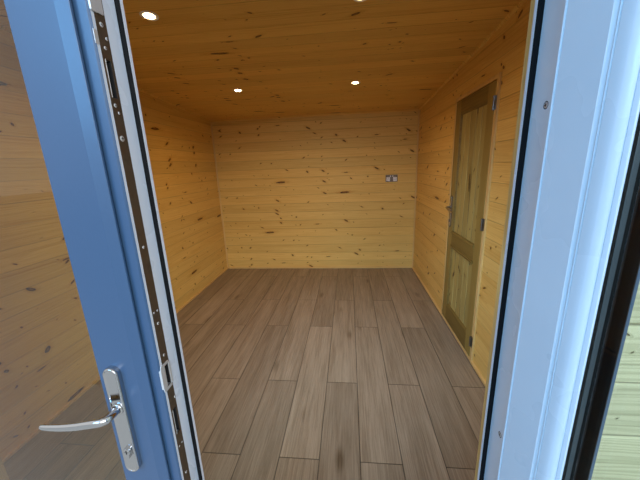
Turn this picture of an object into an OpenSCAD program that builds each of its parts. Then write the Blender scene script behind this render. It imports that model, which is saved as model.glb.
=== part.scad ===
// Garden office pod: a timber-framed room of one bay under a mono-pitch roof,
// with outward-opening two-tone plastic French doors and a boarded side door.
// Millimetres, +Z up, the doors face -Y, the origin is under the middle bearer.

/* [Room] */
// Width between the side linings
room_w = 2560; // [2200:10:3200]
// Depth between the front and the back lining
room_d = 3180; // [2700:10:4200]
// Height to the ceiling boards at the back wall
height_back = 1960; // [1930:5:2050]
// Height to the ceiling boards at the front wall
height_front = 2150; // [2130:5:2350]

/* [Walls] */
// Tongued and grooved inner boarding
lining_t = 12; // [9:1:18]
// Studs and insulation
stud_t = 113; // [89:1:140]
// Shiplap outer boarding
clad_t = 20; // [16:1:25]

/* [Base] */
// Height of the treated bearers
bearer_h = 75; // [50:5:150]
// Width of each bearer
bearer_w = 100; // [75:5:150]
// Number of bearers, odd so that one lies under the middle
bearer_count = 5; // [3:2:7]
// Joisted and boarded floor panel
deck_t = 110; // [80:5:140]
// Laminate and underlay
laminate_t = 10; // [7:1:14]

/* [Roof] */
// Rafters, insulation and deck
roof_t = 115; // [90:5:150]
// Rubber membrane
membrane_t = 5; // [2:1:6]
// Overhang at the doors
eaves_front = 150; // [60:10:250]
// Overhang at the back and the sides
eaves_rear = 60; // [40:5:120]
// Depth of the fascia boards
fascia_h = 160; // [145:5:200]

/* [French doors] */
// Width over the outer frame
set_w = 1472; // [1300:2:1700]
// Height over the outer frame and threshold
set_h = 2050; // [1950:5:2060]
// Middle of the set, to the right of the room's middle
set_x = 44; // [-100:1:100]
// How far the left leaf stands open, in degrees
left_open = 0; // [0:1:160]
// How far the right leaf stands open, in degrees
right_open = 100; // [0:1:160]

/* [Side door] */
// Width over the pine frame
side_w = 682; // [600:2:900]
// Height of the frame's top above the floor
side_h = 1820; // [1700:5:1840]
// Middle of the door, behind the room's middle
side_y = -24; // [-300:1:300]

/* [Hidden] */
$fn = 48;

// Walls in plan
half_w = room_w / 2;
half_d = room_d / 2;
stud_in = lining_t;
clad_in = lining_t + stud_t;
wall_t = lining_t + stud_t + clad_t;
out_x = half_w + wall_t;
out_y = half_d + wall_t;
corner_post = 45;

// Levels
deck_top = bearer_h + deck_t;
floor_z = deck_top + laminate_t;
pitch = (height_front - height_back) / room_d;
clad_drop = 15;
roof_seat = 0.4;

function ceiling_z(y) = floor_z + (height_front + height_back) / 2 - pitch * y;
function wall_top(y) = ceiling_z(y) + lining_t;

// French door sections, as depths behind the outer face and widths from the outer edge
frame_depth = 70;
jamb_w = 47;
upstand_t = 9;
upstand_w = 9;
frame_proud = 12;
leaf_gap = 5.5;
face_gap = 6;
flange_lap = 8;
flange_w = leaf_gap + flange_lap;
flange_t = 10.5;
flange_slope = 19;
sash_depth = 69;
sash_face = 108;
bead_w = 29;
bead_reach = 30;
glass_t = 28;
glass_in = 21;
mullion_w = 35;
frame_front = -out_y - frame_proud;
seal_y = frame_front + frame_depth - upstand_t;
sash_back = seal_y - face_gap;
sash_front = sash_back - sash_depth;
frame_x0 = set_x - set_w / 2;
frame_x1 = set_x + set_w / 2;
rebate_x0 = frame_x0 + jamb_w;
rebate_x1 = frame_x1 - jamb_w;
leaf_w = (rebate_x1 - rebate_x0 - 3 * leaf_gap - mullion_w) / 2;
frame_top = deck_top + set_h;
threshold_h = 18;
threshold_lip = 15;
leaf_z0 = deck_top + threshold_h + 6;
leaf_z1 = frame_top - jamb_w - leaf_gap;
leaf_h = leaf_z1 - leaf_z0;
left_body_x0 = rebate_x0 + leaf_gap;
left_body_x1 = left_body_x0 + leaf_w;
mullion_x1 = left_body_x1 + mullion_w;
right_body_x1 = rebate_x1 - leaf_gap;
pin_out = 22;
pin_proud = 10;
pin_y = frame_front - pin_proud;
left_pin_x = rebate_x0 - pin_out;
right_pin_x = rebate_x1 + pin_out;
pin_r = 4;
knuckle_r = 8.5;
knuckle_h = 34;
hinge_zs = [leaf_z0 + 150, leaf_z0 + leaf_h / 2, leaf_z1 - 150];

// Door furniture
handle_z = floor_z + 899;
plate_h = 258;
plate_w = 32;
plate_t = 12;
plate_up = 94;
cylinder_drop = 105;
backset = 52;
neck_r = 8.5;
lever_r = 7;
lever_bow_r = 440;
lever_bow = 17;
lever_swell = 0.7;
spindle_r = 5;

// Side door
side_y0 = side_y - side_w / 2;
side_y1 = side_y + side_w / 2;
side_top = floor_z + side_h;
side_frame_w = 25;
side_proud = 12;
side_sill = 18;
side_gap = 5;
side_lock_gap = 7;
side_leaf_t = 40;
side_stop = 12;
side_face_x = half_w - side_proud;
side_leaf_y0 = side_y0 + side_frame_w + side_gap;
side_leaf_y1 = side_y1 - side_frame_w - side_lock_gap;
side_leaf_z0 = floor_z + side_sill + side_gap;
side_leaf_z1 = side_top - side_frame_w - side_gap;
stile_w = 92;
top_rail = 92;
mid_rail = 92;
bottom_rail = 140;
mid_rail_z = floor_z + 745;
panel_t = 14;
butt_r = 6;
butt_h = 75;
butt_x = side_face_x - butt_r;
butt_y = side_leaf_y0 - side_gap / 2;
butt_zs = [floor_z + 150, floor_z + 970, floor_z + 1670];
side_handle_z = floor_z + 1000;
side_backset = 45;

// Block with a flat foot whose top follows the roof, lifted by rise
module under_roof(x0, x1, y0, y1, z0, rise = 0) {
    translate([x0, 0, 0])
        rotate([90, 0, 90])
            linear_extrude(x1 - x0)
                polygon([[y0, z0], [y1, z0], [y1, wall_top(y1) + rise], [y0, wall_top(y0) + rise]]);
}

// Slab of the roof between two lifts above the wall tops
module roof_slab(x0, x1, y0, y1, low, high) {
    translate([x0, 0, 0])
        rotate([90, 0, 90])
            linear_extrude(x1 - x0)
                polygon([[y0, wall_top(y0) + low], [y1, wall_top(y1) + low],
                    [y1, wall_top(y1) + high], [y0, wall_top(y0) + high]]);
}

module block(x0, x1, y0, y1, z0, z1) {
    translate([x0, y0, z0])
        cube([x1 - x0, y1 - y0, z1 - z0]);
}

// Straight length of a section along X, mitred at the chosen ends.
// The section is a list of [depth, width from the outer edge].
module mitred_bar(length, section, wide, mitre_start = true, mitre_end = true) {
    start = mitre_start ? wide : 0;
    end = mitre_end ? wide : 0;
    intersection() {
        rotate([90, 0, 90])
            linear_extrude(length)
                polygon(section);
        translate([0, 200, 0])
            rotate([90, 0, 0])
                linear_extrude(400)
                    polygon([[0, 0], [length, 0], [length - end, wide], [start, wide]]);
    }
}

// Four welded bars round a rectangle that stands in the XZ plane
module welded_ring(w, h, section, wide) {
    mitred_bar(w, section, wide);
    translate([0, 0, h])
        mirror([0, 0, 1])
            mitred_bar(w, section, wide);
    mirror([1, 0, -1])
        mitred_bar(h, section, wide);
    translate([w, 0, 0])
        mirror([1, 0, 0])
            mirror([1, 0, -1])
                mitred_bar(h, section, wide);
}

// Base: bearers, floor panel and laminate

module base_bearers() {
    pitch_x = 2 * (out_x - clad_t - bearer_w / 2) / (bearer_count - 1);
    color("darkseagreen")
        for (i = [0 : bearer_count - 1])
            translate([(i - (bearer_count - 1) / 2) * pitch_x - bearer_w / 2, -out_y + clad_t, 0])
                cube([bearer_w, 2 * (out_y - clad_t), bearer_h]);
}

module floor_deck() {
    color("burlywood")
        block(-out_x + clad_t, out_x - clad_t, -out_y + clad_t, out_y - clad_t, bearer_h, deck_top);
}

module laminate_floor() {
    color("rosybrown")
        union() {
            block(-half_w, half_w, -half_d, half_d, deck_top, floor_z);
            block(frame_x0, frame_x1, frame_front + frame_depth, -half_d, deck_top, floor_z);
        }
}

// Walls: framed panels, split beside and over the doorways

module front_wall_left() {
    color("wheat")
        under_roof(-half_w - stud_in, frame_x0, -half_d - clad_in, -half_d - stud_in, deck_top);
}

module front_wall_right() {
    color("wheat")
        under_roof(frame_x1, half_w + stud_in, -half_d - clad_in, -half_d - stud_in, deck_top);
}

module front_wall_head() {
    color("wheat")
        under_roof(frame_x0, frame_x1, -half_d - clad_in, -half_d - stud_in, frame_top);
}

module back_wall() {
    color("wheat")
        under_roof(-half_w - stud_in, half_w + stud_in, half_d + stud_in, half_d + clad_in, deck_top);
}

module left_wall() {
    color("wheat")
        under_roof(-half_w - clad_in, -half_w - stud_in, -half_d - clad_in, half_d + clad_in, deck_top);
}

module right_wall_front() {
    color("wheat")
        under_roof(half_w + stud_in, half_w + clad_in, -half_d - clad_in, side_y0, deck_top);
}

module right_wall_back() {
    color("wheat")
        under_roof(half_w + stud_in, half_w + clad_in, side_y1, half_d + clad_in, deck_top);
}

module right_wall_head() {
    color("wheat")
        under_roof(half_w + stud_in, half_w + clad_in, side_y0, side_y1, side_top);
}

// Outer boarding between the corner posts, with the two doorways cut through
module cladding() {
    foot = bearer_h - clad_drop;
    x_edge = out_x - corner_post;
    y_edge = out_y - corner_post;
    color("palegoldenrod") {
        difference() {
            under_roof(-x_edge, x_edge, -out_y, -out_y + clad_t, foot);
            block(frame_x0, frame_x1, -out_y - 1, -out_y + clad_t + 1, deck_top, frame_top);
        }
        under_roof(-x_edge, x_edge, out_y - clad_t, out_y, foot);
        under_roof(-out_x, -out_x + clad_t, -y_edge, y_edge, foot);
        difference() {
            under_roof(out_x - clad_t, out_x, -y_edge, y_edge, foot);
            block(out_x - clad_t - 1, out_x + 1, side_y0, side_y1, deck_top, side_top);
        }
    }
}

// Angle boards that close the four outer corners
module corner_posts() {
    foot = bearer_h - clad_drop;
    lap = 4;
    leg = corner_post + lap;
    color("darkkhaki")
        for (sx = [-1, 1], sy = [-1, 1]) {
            x_out = sx * (out_x + lap);
            y_out = sy * (out_y + lap);
            x_in = sx * (out_x - clad_t);
            y_in = sy * (out_y - clad_t);
            x_leg = sx * (out_x - corner_post);
            y_leg = sy * (out_y - corner_post);
            union() {
                under_roof(min(x_leg, x_out), max(x_leg, x_out), min(y_in, y_out), max(y_in, y_out), foot);
                under_roof(min(x_in, x_out), max(x_in, x_out), min(y_leg, y_out), max(y_leg, y_out), foot);
            }
        }
}

// Inner boarding, one sheet to a wall, with a hair's gap at the room's corners
module wall_lining() {
    joint = 1;
    color("goldenrod") {
        difference() {
            under_roof(-half_w + joint, half_w - joint, -half_d - stud_in, -half_d, deck_top);
            block(frame_x0, frame_x1, -half_d - stud_in - 1, -half_d + 1, deck_top - 1, frame_top);
        }
        under_roof(-half_w + joint, half_w - joint, half_d, half_d + stud_in, deck_top);
        under_roof(-half_w - stud_in, -half_w, -half_d - stud_in, half_d + stud_in, deck_top);
        difference() {
            under_roof(half_w, half_w + stud_in, -half_d - stud_in, half_d + stud_in, deck_top);
            block(half_w - 1, half_w + stud_in + 1, side_y0, side_y1, deck_top - 1, side_top);
        }
    }
}

module ceiling_lining() {
    can_r = 36;
    color("goldenrod")
        difference() {
            roof_slab(-half_w, half_w, -half_d, half_d, -lining_t, 0);
            for (p = lamp_places())
                translate([p[0], p[1], ceiling_z(p[1]) - 5])
                    cylinder(h = lining_t + 12, r = can_r);
        }
}

// Small square bead along the foot of every wall
module floor_beads() {
    bead = 15;
    z1 = floor_z + bead;
    color("navajowhite") {
        block(-half_w + bead + 1, half_w - bead - 1, half_d - bead, half_d, floor_z, z1);
        block(-half_w, -half_w + bead, -half_d, half_d, floor_z, z1);
        block(half_w - bead, half_w, -half_d, side_y0, floor_z, z1);
        block(half_w - bead, half_w, side_y1, half_d, floor_z, z1);
        block(-half_w + bead + 1, frame_x0, -half_d, -half_d + bead, floor_z, z1);
        block(frame_x1, half_w - bead - 1, -half_d, -half_d + bead, floor_z, z1);
    }
}

// Roof

module roof_deck() {
    color("tan")
        roof_slab(-out_x - eaves_rear, out_x + eaves_rear, -out_y - eaves_front, out_y + eaves_rear,
            roof_seat, roof_t);
}

module roof_membrane() {
    color("dimgray")
        roof_slab(-out_x - eaves_rear, out_x + eaves_rear, -out_y - eaves_front, out_y + eaves_rear,
            roof_t, roof_t + membrane_t);
}

// Fascia at the front and back, bargeboards between them
module roof_fascias() {
    board = 20;
    joint = 1;
    high = roof_t + membrane_t + 3;
    low = high - fascia_h;
    x1 = out_x + eaves_rear;
    y0 = -out_y - eaves_front;
    y1 = out_y + eaves_rear;
    color("darkkhaki") {
        roof_slab(-x1 - board, x1 + board, y0 - board, y0, low, high);
        roof_slab(-x1 - board, x1 + board, y1, y1 + board, low, high);
        roof_slab(-x1 - board, -x1, y0 + joint, y1 - joint, low, high);
        roof_slab(x1, x1 + board, y0 + joint, y1 - joint, low, high);
    }
}

// Fittings

// Two rows of two lamps, on a square about the room's middle line
function lamp_places() = [for (x = [-507, 507], y = [-663, 497]) [x, y]];

// Half of a lamp's section: the can, the pressed bezel under it and the lens
function lamp_section() = [[0, lining_t - 1], [33, lining_t - 1], [33, 0], [42, 0], [42, -1.2],
    [40.5, -3], [37, -4], [33, -3.6], [29, -2.4], [26, -1.8], [0, -2.2]];

module downlights() {
    color("whitesmoke")
        for (p = lamp_places())
            translate([p[0], p[1], ceiling_z(p[1])])
                rotate([-atan(pitch), 0, 0])
                    rotate_extrude()
                        polygon(lamp_section());
}

// Rectangle about the origin with rounded corners
module rounded_plate(w, h, r) {
    for (sx = [-1, 1], sy = [-1, 1])
        translate([sx * (w / 2 - r), sy * (h / 2 - r)])
            circle(r = r);
    translate([r - w / 2, -h / 2])
        square([w - 2 * r, h]);
    translate([-w / 2, r - h / 2])
        square([w, h - 2 * r]);
}

// Double plate with two rockers and two sets of three pin holes
module wall_socket() {
    socket_x = 974;
    socket_z = floor_z + 1180;
    plate = [146, 86, 6];
    hole_depth = 3;
    earth_pin = [0, 6, 4.5, 8.5];
    line_pins = [[-11, -18, 6.8, 4.2], [11, -18, 6.8, 4.2]];
    color("silver")
        translate([socket_x, half_d, socket_z])
            rotate([90, 0, 0])
                difference() {
                    union() {
                        linear_extrude(plate[2])
                            rounded_plate(plate[0], plate[1], 5);
                        for (side = [-1, 1])
                            translate([side * 14, 26, 0])
                                linear_extrude(plate[2] + 2)
                                    rounded_plate(11, 19, 2);
                    }
                    for (side = [-1, 1], pin = [earth_pin, line_pins[0], line_pins[1]])
                        translate([side * 42 + pin[0], pin[1], plate[2] - hole_depth])
                            translate([-pin[2] / 2, -pin[3] / 2, 0])
                                cube([pin[2], pin[3], hole_depth + 1]);
                }
}

// French door set

// Outer frame: outer face first, then the upstand that the leaves close on
function frame_section() = [[0, 0], [frame_depth, 0], [frame_depth, jamb_w + upstand_w - 2],
    [frame_depth - 2, jamb_w + upstand_w], [frame_depth - upstand_t, jamb_w + upstand_w],
    [frame_depth - upstand_t, jamb_w], [3, jamb_w], [0, jamb_w - 3]];

module door_frame() {
    wide = jamb_w + upstand_w;
    jamb_h = set_h - threshold_h - threshold_lip;
    z0 = frame_top - jamb_h;
    color("darkslategray")
        translate([frame_x0, frame_front, 0]) {
            translate([0, 0, frame_top])
                mirror([0, 0, 1])
                    mitred_bar(set_w, frame_section(), wide);
            for (side = [0, 1])
                translate([side * set_w, 0, z0])
                    mirror([side, 0, 0])
                        mirror([1, 0, -1])
                            mitred_bar(jamb_h, frame_section(), wide, false, true);
        }
}

// Low aluminium threshold with an inner lip, under both jambs
module door_threshold() {
    lip_y = frame_depth - upstand_t;
    top = threshold_h + threshold_lip;
    color("silver")
        translate([frame_x0, frame_front, deck_top])
            union() {
                rotate([90, 0, 90])
                    linear_extrude(set_w)
                        polygon([[-10, 0], [frame_depth, 0], [frame_depth, top], [lip_y, top],
                            [lip_y, threshold_h], [6, threshold_h - 4], [-10, 8]]);
                for (x = [0, set_w - jamb_w])
                    translate([x, 0, 0])
                        cube([jamb_w, frame_depth, top]);
            }
}

// Pine boards that line the opening from the frame to the room
module door_reveal() {
    architrave = 45;
    y0 = frame_front + frame_depth;
    y1 = -half_d + 10;
    foot = floor_z + 15;
    top = frame_top + architrave;
    color("navajowhite")
        union() {
            block(frame_x0, frame_x0 + lining_t, y0, y1, floor_z, frame_top);
            block(frame_x1 - lining_t, frame_x1, y0, y1, floor_z, frame_top);
            block(frame_x0, frame_x1, y0, y1, frame_top - lining_t, frame_top);
            block(frame_x0 - architrave, frame_x0, -half_d, y1, foot, top);
            block(frame_x1, frame_x1 + architrave, -half_d, y1, foot, top);
            block(frame_x0 - architrave, frame_x1 + architrave, -half_d, y1, frame_top, top);
        }
}

// Sash: outer face, lapping flange, inner face and the rebate that holds the glass
function sash_section() = [[6, 0], [flange_t, 0], [flange_t, flange_w], [sash_depth, flange_w],
    [sash_depth, sash_face - bead_w], [glass_in, sash_face - bead_w], [glass_in, sash_face],
    [11, sash_face], [0, sash_face - 9], [0, flange_slope]];

// Clip-in bead on the room side, with a quirk at the joint and a sloping face
function bead_section() = [[glass_in + glass_t, 0], [sash_depth - 3, 0], [sash_depth - 3, 2],
    [sash_depth, 5], [sash_depth - 1, 11], [sash_depth - 4, 18], [sash_depth - 8, 24],
    [sash_depth - 9, bead_reach], [glass_in + glass_t, bead_reach]];

// Origin at the outer corner of the flange, closed and facing -Y
ring_w = leaf_w + 2 * flange_w;
ring_h = leaf_h + 2 * flange_w;

module sash() {
    welded_ring(ring_w, ring_h, sash_section(), sash_face);
}

module beads() {
    inset = sash_face - bead_w;
    translate([inset, 0, inset])
        welded_ring(ring_w - 2 * inset, ring_h - 2 * inset, bead_section(), bead_reach);
}

module glass() {
    inset = sash_face - bead_w + 5;
    translate([inset, glass_in, inset])
        cube([ring_w - 2 * inset, glass_t, ring_h - 2 * inset]);
}

// Place a closed leaf, then swing it out about its hinge pins
module at_left() {
    translate([left_pin_x, pin_y, 0])
        rotate([0, 0, -left_open])
            translate([-left_pin_x, -pin_y, 0])
                children();
}

module at_right() {
    translate([right_pin_x, pin_y, 0])
        rotate([0, 0, right_open])
            translate([-right_pin_x, -pin_y, 0])
                children();
}

left_ring_x = left_body_x0 - flange_w;
right_ring_x = right_body_x1 - leaf_w - flange_w;
ring_z = leaf_z0 - flange_w;
left_handle_x = left_body_x1 - backset;
right_handle_x = right_body_x1 - leaf_w + backset;
spindle_hole_r = 9;

// Through hole for the lever's spindle
module spindle_hole(x) {
    translate([x, sash_front - 1, handle_z])
        rotate([-90, 0, 0])
            cylinder(h = sash_depth + 2, r = spindle_hole_r);
}

module left_sash() {
    color("slategray")
        at_left()
            difference() {
                translate([left_ring_x, sash_front, ring_z])
                    sash();
                spindle_hole(left_handle_x);
            }
}

module left_glass() {
    color("lightcyan", 0.4)
        at_left()
            translate([left_ring_x, sash_front, ring_z])
                glass();
}

module left_beads() {
    color("white")
        at_left()
            translate([left_ring_x, sash_front, ring_z])
                beads();
}

// Lock faceplate, let in flush along the right leaf's meeting edge
module lock_faceplate() {
    x0 = right_body_x1 - leaf_w;
    middle = (strip_y0 + strip_y1) / 2;
    block(x0, x0 + 2, middle - 8, middle + 8, leaf_z0 + 60, leaf_z1 - 60);
}

module right_sash() {
    color("slategray")
        at_right()
            difference() {
                translate([right_ring_x, sash_front, ring_z])
                    sash();
                lock_faceplate();
            }
}

module right_lock_strip() {
    color("silver")
        at_right()
            lock_faceplate();
}

module right_glass() {
    color("lightcyan", 0.4)
        at_right()
            translate([right_ring_x, sash_front, ring_z])
                glass();
}

module right_beads() {
    color("white")
        at_right()
            translate([right_ring_x, sash_front, ring_z])
                beads();
}

// Keep openings in the meeting edge: [height, length], latch, bolt and two hooks
keep_slots = [[handle_z + 49, 49], [handle_z - 68, 63], [leaf_z0 + 351, 56], [leaf_z1 - 478, 56]];
strip_y0 = frame_front + 9;
strip_y1 = frame_front + 31;
strip_t = 2;
slot_w = 11;

module keep_cuts(depth) {
    for (s = keep_slots)
        block(mullion_x1 - depth, mullion_x1 + 1, (strip_y0 + strip_y1 - slot_w) / 2,
            (strip_y0 + strip_y1 + slot_w) / 2, s[0] - s[1] / 2, s[0] + s[1] / 2);
}

// Meeting post fixed to the left leaf's edge. Its inner part, with the lip that
// takes the right leaf, stops short of the upstands at the head and the threshold.
module meeting_mullion() {
    lip_back = seal_y + upstand_t;
    lip_x = mullion_x1 + upstand_w;
    cover_x = left_body_x1 - 10;
    lip_z0 = deck_top + threshold_h + threshold_lip + leaf_gap;
    lip_z1 = frame_top - jamb_w - upstand_w - leaf_gap;
    color("white")
        at_left()
            difference() {
                union() {
                    translate([0, 0, leaf_z0])
                        linear_extrude(leaf_h)
                            polygon([[left_body_x1, frame_front], [mullion_x1 - 3, frame_front],
                                [mullion_x1, frame_front + 3], [mullion_x1, sash_back],
                                [left_body_x1, sash_back]]);
                    translate([0, 0, lip_z0])
                        linear_extrude(lip_z1 - lip_z0)
                            polygon([[cover_x, sash_back], [mullion_x1, sash_back], [mullion_x1, seal_y],
                                [lip_x, seal_y], [lip_x, lip_back - 2], [lip_x - 2, lip_back],
                                [cover_x + 4, lip_back], [cover_x, lip_back - 4]]);
                }
                block(mullion_x1 - strip_t, mullion_x1 + 1, strip_y0, strip_y1, leaf_z0 - 1, leaf_z1 + 1);
                keep_cuts(14);
            }
}

// Steel strip let into the meeting post, with the keeps cut through it
module keep_strip() {
    color("gray")
        at_left()
            difference() {
                block(mullion_x1 - strip_t, mullion_x1, strip_y0, strip_y1, leaf_z0, leaf_z1);
                keep_cuts(14);
            }
}

// Hinges: two knuckles on the frame, one between them on the leaf with the pin

module knuckle(z, h) {
    translate([0, 0, z])
        cylinder(h = h, r = knuckle_r);
}

// Frame halves of one flag hinge, pin at the origin, frame towards +X and +Y
module frame_knuckles(z) {
    clear = 0.4;
    reach = frame_front - pin_y;
    difference() {
        union() {
            for (s = [-1, 1]) {
                zk = s > 0 ? z + knuckle_h / 2 + clear : z - knuckle_h * 1.5 - clear;
                knuckle(zk, knuckle_h);
                translate([0, 3, zk])
                    cube([pin_out, reach - 3, knuckle_h]);
            }
            translate([14, reach - 5, z - knuckle_h * 1.5 - clear])
                cube([pin_out - 14, 5, 3 * knuckle_h + 2 * clear]);
        }
        translate([0, 0, z - 2 * knuckle_h])
            cylinder(h = 4 * knuckle_h, r = pin_r + 0.05);
    }
}

// Leaf half of the same hinge, with its pin and an arm on the sash's outer face
module leaf_knuckle(z) {
    arm = 72;
    arm_t = 4;
    union() {
        knuckle(z - knuckle_h / 2, knuckle_h);
        translate([0, 0, z - 1.5 * knuckle_h])
            cylinder(h = 3 * knuckle_h, r = pin_r);
        translate([-arm, sash_front - pin_y - arm_t, z - knuckle_h / 2])
            cube([arm, arm_t, knuckle_h]);
    }
}

// Frame half of one butt hinge of the side door
module butt_frame_half(z) {
    clear = 0.4;
    third = butt_h / 3;
    difference() {
        union() {
            for (s = [-1, 1])
                translate([butt_x, butt_y, z + s * third - third / 2 + (s > 0 ? clear : -clear)])
                    union() {
                        cylinder(h = third, r = butt_r);
                        translate([0, -side_gap / 2 - 3, 0])
                            cube([butt_r, 3, third]);
                    }
            translate([side_face_x - 2, side_leaf_y0 - side_gap - 22, z - butt_h / 2 - clear])
                cube([2, 17, butt_h + 2 * clear]);
            for (s = [-1, 1])
                translate([side_face_x - 2, side_leaf_y0 - side_gap - 6, z - third / 2 + s * (third + clear)])
                    cube([2, 6, third]);
        }
        translate([butt_x, butt_y, z - butt_h])
            cylinder(h = 2 * butt_h, r = 2.55);
    }
}

module fixed_hinges() {
    color("gainsboro") {
        for (z = hinge_zs) {
            translate([right_pin_x, pin_y, 0])
                frame_knuckles(z);
            translate([left_pin_x, pin_y, 0])
                mirror([1, 0, 0])
                    frame_knuckles(z);
        }
        for (z = butt_zs)
            butt_frame_half(z);
    }
}

module left_hinges() {
    color("gainsboro")
        at_left()
            for (z = hinge_zs)
                translate([left_pin_x, pin_y, 0])
                    mirror([1, 0, 0])
                        leaf_knuckle(z);
}

module right_hinges() {
    color("gainsboro")
        at_right()
            for (z = hinge_zs)
                translate([right_pin_x, pin_y, 0])
                    leaf_knuckle(z);
}

// Handles

// Back plate with round ends, standing on a face at y = 0 and facing -Y
module back_plate() {
    difference() {
        rotate([90, 0, 0])
            linear_extrude(plate_t)
                union() {
                    translate([0, plate_up - plate_w / 2])
                        circle(d = plate_w);
                    translate([0, plate_up - plate_h + plate_w / 2])
                        circle(d = plate_w);
                    translate([-plate_w / 2, plate_up - plate_h + plate_w / 2])
                        square([plate_w, plate_h - plate_w]);
                }
        translate([0, 1, 0])
            rotate([90, 0, 0])
                cylinder(h = plate_t + 2, r = spindle_hole_r);
    }
}

// Key cylinder below the lever, standing a little proud of the plate
module key_cylinder() {
    translate([0, 0, -cylinder_drop])
        rotate([90, 0, 0])
            union() {
                cylinder(h = plate_t + 4, r = 8.5);
                translate([-5, -17, 0])
                    cube([10, 17, plate_t + 4]);
            }
}

// Lever with its neck on the Y axis, pointing to -X: a ball at the elbow and an
// arm that droops and levels out along an arc to a slightly swollen round end
module lever_arm() {
    reach = plate_t + 30;
    union() {
        rotate([90, 0, 0])
            cylinder(h = reach, r = neck_r);
        translate([0, -reach, 0])
            sphere(r = neck_r);
        translate([-lever_bow_r * sin(lever_bow), -reach, lever_bow_r * cos(lever_bow)])
            rotate([90, 0, 0])
                rotate([0, 0, -90])
                    rotate_extrude(angle = lever_bow)
                        translate([lever_bow_r, 0])
                            circle(r = lever_r);
        translate([-lever_bow_r * sin(lever_bow), -reach, lever_bow_r * (cos(lever_bow) - 1)])
            sphere(r = lever_r + lever_swell);
    }
}

// Both levers of a door joined by their spindle; thick is the leaf's thickness
module lever_pair(thick) {
    union() {
        lever_arm();
        translate([0, thick, 0])
            mirror([0, 1, 0])
                lever_arm();
        translate([0, -1, 0])
            rotate([-90, 0, 0])
                cylinder(h = thick + 2, r = spindle_r);
    }
}

module plate_pair(thick) {
    for (side = [0, 1])
        translate([0, side * thick, 0])
            mirror([0, side, 0])
                union() {
                    back_plate();
                    key_cylinder();
                }
}

module left_handle_plates() {
    color("silver")
        at_left()
            translate([left_handle_x, sash_front, handle_z])
                plate_pair(sash_depth);
}

module left_lever() {
    color("silver")
        at_left()
            translate([left_handle_x, sash_front, handle_z])
                lever_pair(sash_depth);
}

// The right leaf's furniture is one fixed piece: plates with their levers
module right_handle() {
    color("silver")
        at_right()
            translate([right_handle_x, sash_front, handle_z])
                for (side = [0, 1])
                    translate([0, side * sash_depth, 0])
                        mirror([0, side, 0])
                            union() {
                                back_plate();
                                key_cylinder();
                                mirror([1, 0, 0])
                                    lever_arm();
                                rotate([90, 0, 0])
                                    cylinder(h = plate_t, r = spindle_hole_r);
                            }
}

// Side door

// Pine frame through the wall, with a stop that the leaf closes on
module side_door_frame() {
    x1 = out_x + 8;
    stop_x = side_face_x + side_leaf_t + side_gap + 1;
    inner_y0 = side_y0 + side_frame_w;
    inner_y1 = side_y1 - side_frame_w;
    color("navajowhite")
        difference() {
            union() {
                block(side_face_x, x1, side_y0, side_y1, floor_z, side_top);
                block(half_w, x1, side_y0, side_y1, deck_top, floor_z);
            }
            block(side_face_x - 1, stop_x, inner_y0, inner_y1, floor_z + side_sill, side_top - side_frame_w);
            block(side_face_x - 1, x1 + 1, inner_y0 + side_stop, inner_y1 - side_stop,
                floor_z + side_sill, side_top - side_frame_w - side_stop);
        }
}

side_x1 = side_face_x + side_leaf_t;

// Moulding that holds a panel, room face first: a fillet, a cove and a quirk
panel_deep = (side_leaf_t - panel_t) / 2;
function moulding_section() = [[2, 0], [panel_deep, 0], [panel_deep, 13], [panel_deep - 3, 12],
    [8, 8.5], [4, 7], [3, 3.5], [2, 3]];

// Both mouldings of a panel opening, mitred at its corners
module panel_mouldings(z0, z1) {
    w = side_leaf_y1 - side_leaf_y0 - 2 * stile_w;
    for (side = [0, 1])
        translate([side_face_x + side * side_leaf_t, side_leaf_y1 - stile_w, z0])
            mirror([side, 0, 0])
                rotate([0, 0, -90])
                    welded_ring(w, z1 - z0, moulding_section(), 13);
}

// Stiles and rails round two boarded panels, with their planted mouldings
module side_leaf() {
    inner_y0 = side_leaf_y0 + stile_w;
    inner_y1 = side_leaf_y1 - stile_w;
    color("olivedrab")
        union() {
            difference() {
                block(side_face_x, side_x1, side_leaf_y0, side_leaf_y1, side_leaf_z0, side_leaf_z1);
                block(side_face_x - 1, side_x1 + 1, inner_y0, inner_y1,
                    side_leaf_z0 + bottom_rail, mid_rail_z - mid_rail / 2);
                block(side_face_x - 1, side_x1 + 1, inner_y0, inner_y1,
                    mid_rail_z + mid_rail / 2, side_leaf_z1 - top_rail);
                translate([side_face_x - 1, side_leaf_y1 - side_backset, side_handle_z])
                    rotate([0, 90, 0])
                        cylinder(h = side_leaf_t + 2, r = spindle_hole_r);
            }
            panel_mouldings(side_leaf_z0 + bottom_rail, mid_rail_z - mid_rail / 2);
            panel_mouldings(mid_rail_z + mid_rail / 2, side_leaf_z1 - top_rail);
        }
}

module side_leaf_boards() {
    inner_y0 = side_leaf_y0 + stile_w;
    inner_y1 = side_leaf_y1 - stile_w;
    x0 = side_face_x + (side_leaf_t - panel_t) / 2;
    color("darkkhaki") {
        block(x0, x0 + panel_t, inner_y0, inner_y1, side_leaf_z0 + bottom_rail, mid_rail_z - mid_rail / 2);
        block(x0, x0 + panel_t, inner_y0, inner_y1, mid_rail_z + mid_rail / 2, side_leaf_z1 - top_rail);
    }
}

module side_leaf_hinges() {
    third = butt_h / 3;
    color("gainsboro")
        for (z = butt_zs)
            union() {
                translate([butt_x, butt_y, z - third / 2])
                    cylinder(h = third, r = butt_r);
                translate([butt_x, butt_y, z - butt_h / 2])
                    cylinder(h = butt_h, r = 2.5);
                translate([butt_x, side_leaf_y0 - 0.5, z - third / 2])
                    cube([butt_r, 3, third]);
                translate([side_face_x - 2, side_leaf_y0 - 0.5, z - third / 2])
                    cube([2, 24, third]);
            }
}

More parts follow.
